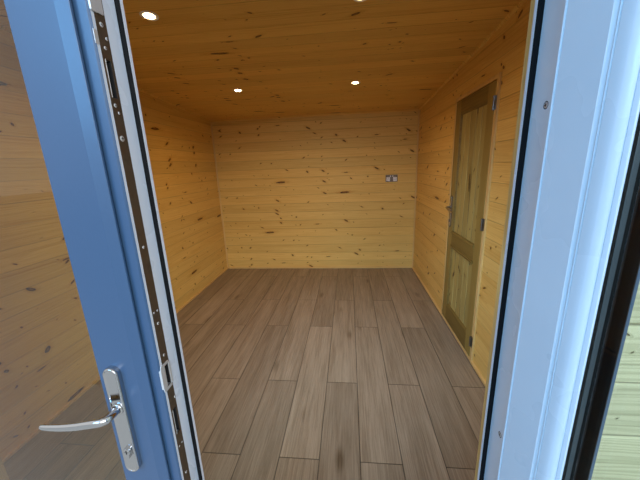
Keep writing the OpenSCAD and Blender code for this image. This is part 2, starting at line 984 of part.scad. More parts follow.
// The side door's furniture stands on its room face, which looks to -X
module at_side_handle() {
    translate([side_face_x, side_leaf_y1 - side_backset, side_handle_z])
        rotate([0, 0, -90])
            children();
}

module side_handle_plates() {
    color("silver")
        at_side_handle()
            plate_pair(side_leaf_t);
}

module side_lever() {
    color("silver")
        at_side_handle()
            mirror([1, 0, 0])
                lever_pair(side_leaf_t);
}

base_bearers();
floor_deck();
laminate_floor();
front_wall_left();
front_wall_right();
front_wall_head();
back_wall();
left_wall();
right_wall_front();
right_wall_back();
right_wall_head();
cladding();
corner_posts();
wall_lining();
ceiling_lining();
floor_beads();
roof_deck();
roof_membrane();
roof_fascias();
downlights();
wall_socket();
door_frame();
door_threshold();
door_reveal();
fixed_hinges();
side_door_frame();
left_sash();
left_glass();
left_beads();
meeting_mullion();
keep_strip();
left_hinges();
left_handle_plates();
left_lever();
right_sash();
right_glass();
right_beads();
right_lock_strip();
right_hinges();
right_handle();
side_leaf();
side_leaf_boards();
side_leaf_hinges();
side_handle_plates();
side_lever();
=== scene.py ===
# Garden office pod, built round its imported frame, from the bearers up. Lengths
# in the modelling calls are millimetres; each piece is scaled as it is finished.

import math

import bmesh
import bpy
from mathutils import Matrix, Vector


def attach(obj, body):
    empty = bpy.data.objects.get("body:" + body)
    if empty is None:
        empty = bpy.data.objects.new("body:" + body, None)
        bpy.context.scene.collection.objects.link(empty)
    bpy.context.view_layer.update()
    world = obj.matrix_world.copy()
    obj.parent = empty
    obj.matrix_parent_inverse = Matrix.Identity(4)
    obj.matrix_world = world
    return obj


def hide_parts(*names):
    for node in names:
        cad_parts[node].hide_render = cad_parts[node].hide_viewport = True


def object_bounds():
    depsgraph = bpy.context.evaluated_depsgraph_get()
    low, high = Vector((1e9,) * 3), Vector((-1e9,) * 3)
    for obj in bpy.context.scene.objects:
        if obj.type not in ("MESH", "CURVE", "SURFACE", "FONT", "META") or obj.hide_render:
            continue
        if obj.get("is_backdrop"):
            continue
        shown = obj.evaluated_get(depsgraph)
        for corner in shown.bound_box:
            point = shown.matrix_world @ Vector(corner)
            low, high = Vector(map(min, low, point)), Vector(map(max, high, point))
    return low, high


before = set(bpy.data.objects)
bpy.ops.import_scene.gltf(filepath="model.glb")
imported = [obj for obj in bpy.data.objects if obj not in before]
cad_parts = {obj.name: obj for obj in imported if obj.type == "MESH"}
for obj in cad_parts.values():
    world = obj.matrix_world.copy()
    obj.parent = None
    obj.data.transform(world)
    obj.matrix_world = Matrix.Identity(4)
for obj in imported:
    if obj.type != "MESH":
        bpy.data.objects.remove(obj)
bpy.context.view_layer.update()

# Base. Five green-treated bearers of 100 x 75 mm sawn softwood lie on the ground
# and carry a joisted floor panel, which is screwed down to them.


def linear(colour):
    """sRGB hex to a linear colour with alpha."""
    parts = [int(colour[i:i + 2], 16) / 255 for i in (1, 3, 5)]
    return [v / 12.92 if v <= 0.04045 else ((v + 0.055) / 1.055) ** 2.4 for v in parts] + [1.0]


def add(tree, kind, inputs=(), **settings):
    """Adds one node: its settings, then a value or a link for each input. Gives its outputs."""
    made = tree.nodes.new("ShaderNode" + kind)
    for name, value in settings.items():
        setattr(made, name, value)
    for name, value in inputs.items() if isinstance(inputs, dict) else enumerate(inputs):
        if isinstance(value, bpy.types.NodeSocket):
            tree.links.new(value, made.inputs[name])
        else:
            made.inputs[name].default_value = value
    return made.outputs


def start_material(name):
    """An empty material and its node tree."""
    made = bpy.data.materials.new(name)
    made.use_nodes = True
    made.node_tree.nodes.clear()
    return made, made.node_tree


def timber(name, pale, deep, knot, along, across, pitch, start=0.0, spacing=0.30, size=0.010, tone=0.08,
           figure=1.0, rough=0.55, odd=0.0, seam=0.0, knotty=0.5, wide=0.004):
    """Sawn or planed softwood in boards. along and across are directions, pitch the cover in metres.

    Each board has its own tone, growth lines 10 mm apart, fibres 2 mm wide, and knots 5 to 35 mm
    across with a reddish rim, some cut lengthways as spikes. Lines and fibres are two to four times
    as coarse as real ones, so that they show. spacing is from knot to knot, size their radius.
    """
    made, tree = start_material(name)
    here = add(tree, "TexCoord")["Object"]
    u = add(tree, "VectorMath", (here, along), operation="DOT_PRODUCT")["Value"]
    v = add(tree, "VectorMath", (here, across), operation="DOT_PRODUCT")["Value"]
    row = add(tree, "Math", (v, 1 / pitch, -start / pitch), operation="MULTIPLY_ADD")[0]
    board = add(tree, "Math", (row,), operation="FLOOR")[0]
    place = add(tree, "Math", (row, board), operation="SUBTRACT")[0]
    number = add(tree, "Math", (board, odd + 0.5), operation="ADD")[0]
    chance = add(tree, "TexWhiteNoise", {"W": number}, noise_dimensions="1D")
    own = chance["Value"]
    dice = add(tree, "SeparateColor", (chance["Color"],))
    slid = add(tree, "Math", (own, 9.0, u), operation="MULTIPLY_ADD")[0]
    # Boards from one stem lie together, so a whorl of branches shows in three of them
    stem = add(tree, "Math", (number, 3.0), operation="DIVIDE")[0]
    stem = add(tree, "Math", (stem,), operation="FLOOR")[0]
    stem = add(tree, "TexWhiteNoise", {"W": stem}, noise_dimensions="1D")["Value"]
    together = add(tree, "Math", (stem, 7.0, u), operation="MULTIPLY_ADD")[0]
    together = add(tree, "Math", (own, 0.035, together), operation="MULTIPLY_ADD")[0]
    spot = add(tree, "CombineXYZ", (slid, v, number))[0]
    crumb = add(tree, "VectorMath", (spot, (70.0, 70.0, 1.0)), operation="MULTIPLY")[0]
    ragged = add(tree, "TexNoise", {"Vector": crumb, "Scale": 1.0})[0]
    ragged = add(tree, "Math", (ragged, 0.9, 0.55), operation="MULTIPLY_ADD")[0]
    # Distance from the nearest knot's middle, in that knot's radii; each is a spot or, cut long, a spike
    near = 99.0
    # Four sets of knots: where they are counted from, how far apart, how many are left out, their size
    pin = 0.37 * spacing
    whorl = 1.3 * spacing
    for path, step, bare, large in ((slid, spacing, knotty, 1.0), (slid, pin, knotty + 0.08, 0.45),
                                    (together, whorl, knotty, 0.9), (together, whorl, knotty, 0.6)):
        cell = add(tree, "Math", (path, 1 / step, 31.7 * large), operation="MULTIPLY_ADD")[0]
        found = add(tree, "TexVoronoi", {"W": cell, "Scale": 1.0}, voronoi_dimensions="1D")
        luck = add(tree, "SeparateColor", (found["Color"],))
        height = add(tree, "Math", (dice[0], 3.7 + large, luck[0]), operation="MULTIPLY_ADD")[0]
        height = add(tree, "Math", (height,), operation="FRACT")[0]
        rise = add(tree, "Math", (height, -0.8, -0.1), operation="MULTIPLY_ADD")[0]
        rise = add(tree, "Math", (place, rise), operation="ADD")[0]
        rise = add(tree, "Math", (rise, pitch), operation="MULTIPLY")[0]
        run = add(tree, "Math", (found["W"], cell), operation="SUBTRACT")[0]
        slant = add(tree, "Math", (luck[2], 3.0, -1.5), operation="MULTIPLY_ADD")[0]
        slant = add(tree, "Math", (slant, rise), operation="MULTIPLY")[0]
        run = add(tree, "Math", (run, step, slant), operation="MULTIPLY_ADD")[0]
        long = add(tree, "MapRange", (luck[2], 0.92, 0.97, 1.0, 0.2))[0]
        run = add(tree, "Math", (run, long), operation="MULTIPLY")[0]
        away = add(tree, "CombineXYZ", (run, rise, 0.0))[0]
        away = add(tree, "VectorMath", (away,), operation="LENGTH")["Value"]
        reach = add(tree, "MapRange", (luck[1], bare, 1.0, 0.0, size * large))[0]
        reach = add(tree, "Math", (reach, 0.0003), operation="MAXIMUM")[0]
        away = add(tree, "Math", (away, reach), operation="DIVIDE")[0]
        near = add(tree, "Math", (near, away), operation="MINIMUM")[0]
    near = add(tree, "Math", (near, ragged), operation="MULTIPLY")[0]
    dark = add(tree, "MapRange", (near, 1.1, 0.8), interpolation_type="SMOOTHSTEP")[0]
    heart = add(tree, "MapRange", (near, 0.75, 0.2, 0.0, 0.45), interpolation_type="SMOOTHSTEP")[0]
    halo = add(tree, "MapRange", (near, 3.0, 0.9), interpolation_type="SMOOTHSTEP")[0]
    # Noise by the metre along the board, across it, and from one board to the next
    grain = []
    for draw, detail in (((1.1, 16.0, 3.2), 3.0), ((5.0, 520.0, 1.7), 3.0),
                         ((1.3, 11.0, 2.3), 2.0), ((0.9, 90.0, 5.1), 2.0)):
        drawn = add(tree, "VectorMath", (spot, draw), operation="MULTIPLY")[0]
        grain.append(add(tree, "TexNoise", {"Vector": drawn, "Scale": 1.0, "Detail": detail})[0])
    drift, fibre, patch, streak = grain
    # Growth lines: one to each 2 pi / 597 m of width, pushed aside by the drift and by the knots
    turns = add(tree, "CombineXYZ", (v, drift, halo))[0]
    turns = add(tree, "VectorMath", (turns, (597.0, 56.0, 9.0)), operation="DOT_PRODUCT")["Value"]
    ring = add(tree, "Math", (turns,), operation="SINE")[0]
    ring = add(tree, "MapRange", (ring, -0.6, 1.0), interpolation_type="SMOOTHSTEP")[0]
    streak = add(tree, "MapRange", (streak, 0.52, 0.72), interpolation_type="SMOOTHSTEP")[0]
    shade = add(tree, "CombineXYZ", (ring, fibre, patch))[0]
    shade = add(tree, "VectorMath", (shade, (0.22 * figure, 0.34, 0.62)), operation="DOT_PRODUCT")["Value"]
    more = add(tree, "CombineXYZ", (streak, dice[1], halo))[0]
    more = add(tree, "VectorMath", (more, (0.26 * figure, 3 * tone, 0.35)), operation="DOT_PRODUCT")["Value"]
    shade = add(tree, "Math", (shade, more), operation="ADD")[0]
    shade = add(tree, "Math", (shade, 0.39 + 1.5 * tone), operation="SUBTRACT")[0]
    colour = add(tree, "Mix", {0: shade, 6: linear(pale), 7: linear(deep)}, data_type="RGBA")[2]
    level = add(tree, "Math", (dice[2], 2 * tone, 1.0 - tone), operation="MULTIPLY_ADD")[0]
    if seam:
        # The joint between two boards is tight in places and open in others
        back = add(tree, "Math", (1.0, place), operation="SUBTRACT")[0]
        edge = add(tree, "Math", (place, back), operation="MINIMUM")[0]
        loose = add(tree, "VectorMath", (spot, (2.2, 9.0, 0.0)), operation="MULTIPLY")[0]
        loose = add(tree, "TexNoise", {"Vector": loose, "Scale": 1.0})[0]
        parted = add(tree, "MapRange", (loose, 0.35, 0.7, 0.15 * wide / pitch, wide / pitch))[0]
        gap = add(tree, "Math", (edge, parted), operation="DIVIDE")[0]
        gap = add(tree, "MapRange", (gap, 0.4, 1.1, 1.0 - seam, 1.0), interpolation_type="SMOOTHSTEP")[0]
        level = add(tree, "Math", (level, gap), operation="MULTIPLY")[0]
    colour = add(tree, "VectorMath", {0: colour, "Scale": level}, operation="SCALE")[0]
    core = add(tree, "Mix", {0: heart, 6: linear(knot), 7: linear(deep)}, data_type="RGBA")[2]
    colour = add(tree, "Mix", {0: dark, 6: colour, 7: core}, data_type="RGBA")[2]
    relief = add(tree, "CombineXYZ", (fibre, ring, dark))[0]
    relief = add(tree, "VectorMath", (relief, (0.6, -0.3, 0.5)), operation="DOT_PRODUCT")["Value"]
    bump = add(tree, "Bump", {"Strength": 0.35, "Distance": 0.0005, "Height": relief})[0]
    surface = add(tree, "BsdfPrincipled", {"Base Color": colour, "Roughness": rough,
                                           "Specular IOR Level": 0.35, "Normal": bump})[0]
    add(tree, "OutputMaterial", {"Surface": surface})
    return made


def dress(node_name, coat, eased=0, steps=2):
    """Gives a CAD node its material, and breaks its sharp edges by so many millimetres."""
    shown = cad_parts[node_name]
    if not shown.material_slots:
        shown.data.materials.append(coat)
    for held in shown.material_slots:
        held.material = coat
    if eased:
        edge = shown.modifiers.new("eased edges", "BEVEL")
        edge.width = eased / 1000
        edge.segments = steps
        edge.limit_method = "ANGLE"
        edge.angle_limit = math.radians(40)
        edge.harden_normals = False


X = (1.0, 0.0, 0.0)
Y = (0.0, 1.0, 0.0)
Z = (0.0, 0.0, 1.0)
LEVEL = (1.0, 1.0, 0.0)

# Treated softwood straight from the saw: a dull olive with hardly any shine
bearer_wood = timber("sawn_treated_softwood", "#9B9C6B", "#6C7048", "#4C3B22", Y, X, 0.7, rough=0.8)
# Softwood planed for panels and left bare: pale brown and matt
panel_wood = timber("planed_bare_softwood", "#C9A876", "#A8824F", "#5D3A1D", LEVEL, Z, 0.2, rough=0.75)
dress("base_bearers", bearer_wood, 3)
dress("floor_deck", panel_wood)

# Laminate floor. Click-jointed planks 195 mm wide and 1.2 m long run from the
# doors to the back wall, with bevelled edges and every other row moved 520 mm.


def bridge(bm, a, b, slot=0, outline=None):
    """Faces between two loops. slot is a number, or a rule on the middle of each side of the outline."""
    for k in range(len(a)):
        n = (k + 1) % len(a)
        face = bm.faces.new((a[k], a[n], b[n], b[k]))
        if callable(slot):
            face.material_index = slot(*((outline[k][i] + outline[n][i]) / 2 for i in (0, 1)))
        else:
            face.material_index = slot


def prism(bm, outline, a, b, place, slot=0, cap_slot=0):
    """Closed outline of (p, q) points drawn from a to b. place(t, p, q) gives x, y, z."""
    foot, top = ([bm.verts.new(place(t, p, q)) for p, q in outline] for t in (a, b))
    bridge(bm, foot, top, slot, outline)
    for end in (foot[::-1], top):
        bm.faces.new(end).material_index = cap_slot


def settle(bm, name, body, coats, node_names=(), angle=35):
    """Turns millimetre geometry into a finished piece that rides on a body."""
    bmesh.ops.recalc_face_normals(bm, faces=bm.faces[:])
    bmesh.ops.scale(bm, vec=(0.001, 0.001, 0.001), verts=bm.verts[:])
    mesh = bpy.data.meshes.new(name)
    bm.to_mesh(mesh)
    bm.free()
    mesh.shade_smooth()
    mesh.set_sharp_from_angle(angle=math.radians(angle))
    for coat in coats:
        mesh.materials.append(coat)
    made = bpy.data.objects.new(name, mesh)
    bpy.context.scene.collection.objects.link(made)
    made.modifiers.new("weighted normals", "WEIGHTED_NORMAL").keep_sharp = True
    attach(made, body)
    if node_names:
        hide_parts(*node_names)


def plank_section(v0, v1, thick, low, high, gap=0.15):
    """Cross-section of a board: (v, depth), face at depth 0, with its two edges eased."""
    v0 += gap
    v1 -= gap
    start = [(v0, thick), (v0, low), (v0 + low, 0)] if low else [(v0, thick), (v0, 0)]
    end = [(v1 - high, 0), (v1, high), (v1, thick)] if high else [(v1, 0), (v1, thick)]
    return start + end


def laminate(name, cover, long):
    """Oak-effect laminate: printed paper under a clear wear layer, pressed with a fine pore.

    Streaks 3 to 6 mm apart run along each plank, pores are 1 mm wide, and eyes lie about half a
    metre apart. The pressed bevels are 1.2 mm; they are drawn 3 mm wide, so that they show.
    cover and long are a plank's width and length in metres.
    """
    made, tree = start_material(name)
    here = add(tree, "TexCoord")["Object"]
    x, y, z = add(tree, "SeparateXYZ", (here,))
    across = add(tree, "Math", (x, 1 / cover, -0.090 / cover), operation="MULTIPLY_ADD")[0]
    row = add(tree, "Math", (across,), operation="FLOOR")[0]
    half = add(tree, "Math", (row, 0.5), operation="MULTIPLY")[0]
    half = add(tree, "Math", (half,), operation="FRACT")[0]
    down = add(tree, "Math", (half, -1.04, y), operation="MULTIPLY_ADD")[0]
    down = add(tree, "Math", (down, 1 / long, 1.125 / long), operation="MULTIPLY_ADD")[0]
    plank = add(tree, "Math", (down,), operation="FLOOR")[0]
    own = add(tree, "CombineXYZ", (row, plank, 0.5))[0]
    own = add(tree, "TexWhiteNoise", {"Vector": own})["Value"]
    u = add(tree, "Math", (own, 11.0, y), operation="MULTIPLY_ADD")[0]
    spot = add(tree, "CombineXYZ", (u, x, own))[0]
    # Noise by the metre along a plank and across it: patches, streaks and pores
    grain = []
    for draw, detail in (((1.3, 16.0, 1.0), 3.0), ((5.0, 150.0, 1.0), 4.0), ((40.0, 900.0, 1.0), 2.0)):
        drawn = add(tree, "VectorMath", (spot, draw), operation="MULTIPLY")[0]
        noise = {"Vector": drawn, "Scale": 1.0, "Detail": detail, "Roughness": 0.6}
        grain.append(add(tree, "TexNoise", noise)[0])
    broad, streak, pore = grain
    drawn = add(tree, "VectorMath", (spot, (1.9, 6.0, 1.0)), operation="MULTIPLY")[0]
    eye = add(tree, "TexVoronoi", {"Vector": drawn, "Scale": 1.0})["Distance"]
    eye = add(tree, "MapRange", (eye, 0.19, 0.02), interpolation_type="SMOOTHSTEP")[0]
    dots = add(tree, "MapRange", (pore, 0.56, 0.75))[0]
    shade = add(tree, "CombineXYZ", (broad, streak, eye))[0]
    shade = add(tree, "VectorMath", (shade, (0.85, 0.95, 0.40)), operation="DOT_PRODUCT")["Value"]
    shade = add(tree, "Math", (dots, 0.22, shade), operation="MULTIPLY_ADD")[0]
    shade = add(tree, "Math", (shade, 0.45), operation="SUBTRACT")[0]
    colour = add(tree, "Mix", {0: shade, 6: linear("#AE9878"), 7: linear("#5A472F")}, data_type="RGBA")[2]
    level = add(tree, "Math", (own, 0.26, 0.86), operation="MULTIPLY_ADD")[0]
    for turn, length in ((across, cover), (down, long)):
        part = add(tree, "Math", (turn,), operation="FRACT")[0]
        back = add(tree, "Math", (1.0, part), operation="SUBTRACT")[0]
        edge = add(tree, "Math", (part, back), operation="MINIMUM")[0]
        joint = add(tree, "MapRange", (edge, 0.0032 / length, 0.0014 / length, 1.0, 0.38))[0]
        level = add(tree, "Math", (level, joint), operation="MULTIPLY")[0]
    colour = add(tree, "VectorMath", {0: colour, "Scale": level}, operation="SCALE")[0]
    sheen = add(tree, "MapRange", (streak, 0.2, 0.8, 0.34, 0.50))[0]
    relief = add(tree, "Math", (streak, pore), operation="ADD")[0]
    bump = add(tree, "Bump", {"Strength": 0.2, "Distance": 0.0003, "Height": relief})[0]
    surface = add(tree, "BsdfPrincipled", {"Base Color": colour, "Roughness": sheen, "Normal": bump})[0]
    add(tree, "OutputMaterial", {"Surface": surface})
    return made


def on_floor(t, p, q):
    """Plank coordinates: along it, across the room and down from the floor's top."""
    return (p, t, floor_top - q)


# Half the room's width and depth between its boards, the floor's top, and the doorway's sides
room_side = 1280
room_end = 1590
floor_top = 195
door_left = -692
door_right = 780
# Greyish brown oak print under a clear pressed film: streaked, with a low even sheen and dark bevels
oak_laminate = laminate("pressed_oak_laminate", 0.195, 1.2)
bm = bmesh.new()
for row in range(-7, 7):
    x0 = -room_side if row == -7 else 90 + 195 * row
    x1 = min(90 + 195 * (row + 1), room_side)
    first = -605 if row % 2 else -1125
    cuts = [-room_end] + [y for y in range(first, 1580, 1200) if y > -1580] + [room_end]
    for y0, y1 in zip(cuts, cuts[1:]):
        prism(bm, plank_section(x0, x1, 9.5, 1.2, 1.2, 0.1), y0 + 0.3, y1 - 0.3, on_floor)
    # Between the jambs the floor runs on to the doors
    x0 = max(x0, door_left)
    x1 = min(x1, door_right)
    if x1 > x0:
        prism(bm, plank_section(x0, x1, 9.5, 1.2, 1.2, 0.1), -1677, -room_end - 0.3, on_floor)
settle(bm, "laminate_planks", "building", [oak_laminate], ["laminate_floor"])

# Walls. Framed and insulated panels stand on the floor panel, split beside and
# over the doorways; their faces are hidden by boards inside and outside.

for name in ("front_wall_left", "front_wall_right", "front_wall_head", "back_wall", "left_wall",
             "right_wall_front", "right_wall_back", "right_wall_head"):
    dress(name, panel_wood)

# Outer boarding. Green-treated shiplap with a 114.5 mm cover, nailed through to
# the studs, between angle boards at the corners. The doorways are cut through it.


def boards(bm, spans, place, first, pitch, low, high, thick, edge):
    """Level boards from low to high. spans(v0, v1) gives the stretches to cover."""
    rows = []
    k = math.floor((low - first) / pitch)
    while first + k * pitch < high:
        v0 = max(first + k * pitch, low)
        v1 = min(first + (k + 1) * pitch, high)
        if v1 - v0 > 4:
            rows.append((v0, v1, edge if v0 > low else 0, edge if v1 < high else 0))
        k += 1
    for v0, v1, e0, e1 in rows:
        for part0, part1, u0, u1 in spans(v0, v1):
            eased = (e0 if part0 == v0 else 0, e1 if part1 == v1 else 0)
            section = plank_section(part0, part1, thick, *eased)
            prism(bm, section, u0, u1, place)


def opening(u0, u1, gap0, gap1, gap_low, gap_high):
    """Stretches from u0 to u1 with a doorway left out."""
    def spans(v0, v1):
        parts = []
        low = max(v0, gap_low)
        high = min(v1, gap_high)
        if high <= low:
            return [(v0, v1, u0, u1)]
        if v0 < low:
            parts.append((v0, low, u0, u1))
        parts.append((low, high, u0, gap0))
        parts.append((low, high, gap1, u1))
        if high < v1:
            parts.append((high, v1, u0, u1))
        return parts
    return spans


def plain(u0, u1):
    """One stretch from u0 to u1 at every height."""
    return lambda v0, v1: [(v0, v1, u0, u1)]


def clad(bm, side, end, wide, deep, inward, **sizes):
    """Boards four walls with their faces at side and end, wide and deep being half of each run."""
    # Sides, foot and head of the French doors' opening in front, and of the side door's on the right
    front = opening(-wide, wide, door_left, door_right, 185, 2235)
    right = opening(-deep, deep, -365, 317, 185, 2015)
    for spans, place in ((front, lambda t, p, q: (t, -end + inward * q, p)),
                         (plain(-wide, wide), lambda t, p, q: (t, end - inward * q, p)),
                         (plain(-deep, deep), lambda t, p, q: (-side + inward * q, t, p)),
                         (right, lambda t, p, q: (side - inward * q, t, p))):
        boards(bm, spans, place, **sizes)


# The ceiling is 2.15 m high at the doors and 1.96 m at the back wall
roof_fall = (2150 - 1960) / (2 * room_end)


def ceiling_z(y):
    """Underside of the ceiling boards."""
    return floor_top + (1960 + 2150) / 2 - roof_fall * y


def cut_under_roof(bm, lift):
    """Trims boards along the roof's slope, lift above the ceiling's face."""
    parts = bm.verts[:] + bm.edges[:] + bm.faces[:]
    made = bmesh.ops.bisect_plane(bm, geom=parts, dist=0.001, plane_co=(0, 0, ceiling_z(0) + lift),
                                  plane_no=Vector((0, roof_fall, 1)).normalized(), clear_outer=True)
    rim = [e for e in made["geom_cut"] if isinstance(e, bmesh.types.BMEdge)]
    bmesh.ops.holes_fill(bm, edges=rim, sides=0)


# Pressure-treated pine, planed: pale sage, silky, with brown knots and dark open joints
shiplap = timber("planed_treated_shiplap", "#DBCDA3", "#958B66", "#4A3A22", LEVEL, Z, 0.1145, 0.0185,
                 spacing=0.5, size=0.014, tone=0.06, figure=1.3, rough=0.62, odd=3.0, seam=0.5, knotty=0.45)
# The same pine in upright angle boards: one even grey-green, hardly marked
upright_trim = timber("planed_treated_upright", "#C6C89A", "#9A9C70", "#5A4426", Z, LEVEL, 0.3, rough=0.62)
bm = bmesh.new()
clad(bm, 1425, 1735, 1380, 1690, 1, first=18.5, pitch=114.5, low=60, high=2375, thick=19.5, edge=4)
cut_under_roof(bm, 11.8)
settle(bm, "shiplap_boards", "building", [shiplap], ["cladding"], 20)
dress("corner_posts", upright_trim, 2)

# Inner boarding. Clear-coated pine, tongued and grooved, with a 112 mm cover and
# fine V-joints, level on the walls and from side to side under the roof.

# Pine planed and clear-coated: warm honey with near-black knots, each board its own tone, a satin sheen
pine_wall = timber("coated_knotty_pine", "#EAC16A", "#C58C32", "#3F1A09", LEVEL, Z, 0.112, 0.195,
                   spacing=0.40, size=0.019, tone=0.06, rough=0.5, seam=0.30, knotty=0.40)
# The same overhead, a shade browner, with its joints drawn a little darker
pine_ceiling = timber("coated_ceiling_pine", "#E5B960", "#BF862C", "#3F1A09", X, Y, 0.1118, -1.59,
                      spacing=0.40, size=0.019, tone=0.06, rough=0.5, odd=40.0, seam=0.35, knotty=0.40)
# Clear pine planed for beads and linings: paler and calmer than the boards, with few small knots
trim = {"spacing": 0.7, "size": 0.010, "tone": 0.03, "rough": 0.5}
pine_trim = timber("planed_pine_bead", "#E3BC74", "#BE8E48", "#6E3C1A", LEVEL, Z, 0.4, **trim)
pine_upright = timber("planed_pine_lining", "#E3BC74", "#BE8E48", "#6E3C1A", Z, LEVEL, 0.4, **trim)
bm = bmesh.new()
clad(bm, room_side, room_end, 1279, 1601, -1, first=floor_top, pitch=112, low=186, high=2365, thick=11.5,
     edge=1.3)
cut_under_roof(bm, 11.5)
settle(bm, "wall_boards", "building", [pine_wall], ["wall_lining"], 20)
bm = bmesh.new()
boards(bm, plain(-room_side, room_side), lambda t, p, q: (t, p, ceiling_z(p) + q), first=-room_end,
       pitch=111.8, low=-room_end, high=room_end, thick=11.5, edge=1.3)
settle(bm, "ceiling_boards", "building", [pine_ceiling], ["ceiling_lining"], 20)
dress("floor_beads", pine_trim, 4, 3)
bm = bmesh.new()
for side in (-1, 1):
    corner = [(1280, 1590), (1266, 1590), (1267.5, 1583), (1273, 1577.5), (1280, 1576)]
    prism(bm, corner, 196, ceiling_z(1576) - 1, lambda t, p, q, s=side: (s * p, q, t))
settle(bm, "corner_beads", "building", [pine_upright])
bm = bmesh.new()
cove = [(0, 0), (13, 0), (12.4, 3.5), (9.4, 8.2), (4.6, 11.6), (0, 12.6)]
for side in (-1, 1):
    prism(bm, cove, -room_end, room_end,
          lambda t, p, q, s=side: (s * (room_side - p), t, ceiling_z(t) - q - 0.1))
for side in (1, -1):
    prism(bm, cove, -1265, 1265,
          lambda t, p, q, s=side: (t, s * (room_end - p), ceiling_z(s * (room_end - p)) - q - 0.1))
settle(bm, "ceiling_beads", "building", [pine_ceiling])

# Roof. A deck panel, a rubber sheet over it, and treated fascia boards round it.


def plastic(name, colour, rough, grain=0.1, scale=900.0, coat=0.0, streak=(1.0, 1.0, 1.0), gloss=0.5):
    """Moulded, extruded or rolled polymer: an even colour, a fine surface grain and a soft gloss.

    scale is the grain's in noise by the metre: 900 is 1.1 mm, ten times as coarse as a real die's
    or tool's texture, so that it shows. A broad mottle over 170 mm keeps large faces alive.
    """
    made, tree = start_material(name)
    here = add(tree, "TexCoord")["Object"]
    here = add(tree, "VectorMath", (here, streak), operation="MULTIPLY")[0]
    fine = add(tree, "TexNoise", {"Vector": here, "Scale": scale, "Detail": 3.0})[0]
    broad = add(tree, "TexNoise", {"Vector": here, "Scale": 6.0, "Detail": 3.0})[0]
    level = add(tree, "Math", (broad, 0.10, 0.95 - grain * 0.3), operation="MULTIPLY_ADD")[0]
    level = add(tree, "Math", (fine, grain * 0.6, level), operation="MULTIPLY_ADD")[0]
    tinted = add(tree, "VectorMath", {0: linear(colour)[:3], "Scale": level}, operation="SCALE")[0]
    sheen = add(tree, "MapRange", (broad, 0.3, 0.7, rough * 0.9, min(1.0, rough * 1.12)))[0]
    bump = add(tree, "Bump", {"Strength": grain, "Distance": 0.0003, "Height": fine})[0]
    surface = add(tree, "BsdfPrincipled", {"Base Color": tinted, "Roughness": sheen,
                                           "Specular IOR Level": gloss, "Coat Weight": coat,
                                           "Coat Roughness": 0.2, "Normal": bump})[0]
    add(tree, "OutputMaterial", {"Surface": surface})
    return made


# Rolled rubber sheet: near black and matt, with a faint mottle and a 4 mm grain
roof_sheet = plastic("rolled_rubber_sheet", "#34363A", 0.75, 0.25, 260.0)
# Pressure-treated fascia board, planed: like the boarding, greener and with the odd knot
fascia_wood = timber("planed_treated_fascia", "#CBC397", "#A19A68", "#5A4426", LEVEL, Z, 0.6,
                     spacing=0.5, rough=0.62)
dress("roof_deck", panel_wood)
dress("roof_membrane", roof_sheet)
dress("roof_fascias", fascia_wood, 2)

# Downlights. Four pressed bezels in white enamel, each round a warm lit lens,
# set square to the sloping ceiling.


def metal(name, colour, rough, grain=0.15, streak=(1.0, 1.0, 1.0), scale=400.0, wear=0.0, whole=1.0):
    """Bare, plated or enamelled metal. streak draws the surface marks out; wear stains it in patches.

    scale is the marks' in noise by the metre: 400 is 2.5 mm, coarser than real ones, so that they show.
    whole is how much of the surface is bare metal and not film, lacquer or enamel.
    """
    made, tree = start_material(name)
    here = add(tree, "TexCoord")["Object"]
    drawn = add(tree, "VectorMath", (here, streak), operation="MULTIPLY")[0]
    fine = add(tree, "TexNoise", {"Vector": drawn, "Scale": scale, "Detail": 3.0})[0]
    broad = add(tree, "TexNoise", {"Vector": here, "Scale": 35.0, "Detail": 3.0})[0]
    level = add(tree, "Math", (fine, 0.12, 0.94), operation="MULTIPLY_ADD")[0]
    tinted = add(tree, "VectorMath", {0: linear(colour)[:3], "Scale": level}, operation="SCALE")[0]
    worn = add(tree, "MapRange", (broad, 0.55, 0.75, 0.0, wear))[0]
    tinted = add(tree, "Mix", {0: worn, 6: tinted, 7: linear("#5B4B3A")}, data_type="RGBA")[2]
    sheen = add(tree, "MapRange", (broad, 0.3, 0.7, rough * 0.75, min(1.0, rough * 1.3)))[0]
    bump = add(tree, "Bump", {"Strength": grain, "Distance": 0.0002, "Height": fine})[0]
    surface = add(tree, "BsdfPrincipled", {"Base Color": tinted, "Metallic": whole, "Roughness": sheen,
                                           "Normal": bump})[0]
    add(tree, "OutputMaterial", {"Surface": surface})
    return made


def turned(bm, profile, place, around=40, slot=0):
    """A lathe-turned form. profile is (radius, height) from the axis or a rim to another."""
    turns = [2 * math.pi * k / around for k in range(around)]
    rings = []
    for radius, height in profile:
        spots = [(radius * math.cos(a), radius * math.sin(a)) for a in turns] if radius > 0.01 else [(0, 0)]
        rings.append([bm.verts.new(place(x, y, height)) for x, y in spots])
    for a, b in zip(rings, rings[1:]):
        if len(a) == len(b):
            bridge(bm, a, b, slot)
            continue
        for k in range(around):
            n = (k + 1) % around
            corners = (a[0], b[n], b[k]) if len(a) == 1 else (a[k], a[n], b[0])
            bm.faces.new(corners).material_index = slot


def area_light(name, shape, size, power, colour, place, aim=None, spread=180, hidden=False):
    """A soft lamp, facing down or aimed at a point. spread is the angle of its beam in degrees.
    The camera sees no lamp; a hidden one isn't mirrored either."""
    data = bpy.data.lights.new(name, "AREA")
    data.shape = shape
    data.size, data.size_y = size
    data.energy = power
    data.spread = math.radians(spread)
    data.color = linear(colour)[:3]
    lamp = bpy.data.objects.new(name, data)
    bpy.context.scene.collection.objects.link(lamp)
    lamp.location = place
    if aim:
        lamp.rotation_euler = (Vector(aim) - Vector(place)).to_track_quat("-Z", "Y").to_euler()
    lamp.visible_camera = False
    lamp.visible_glossy = not hidden


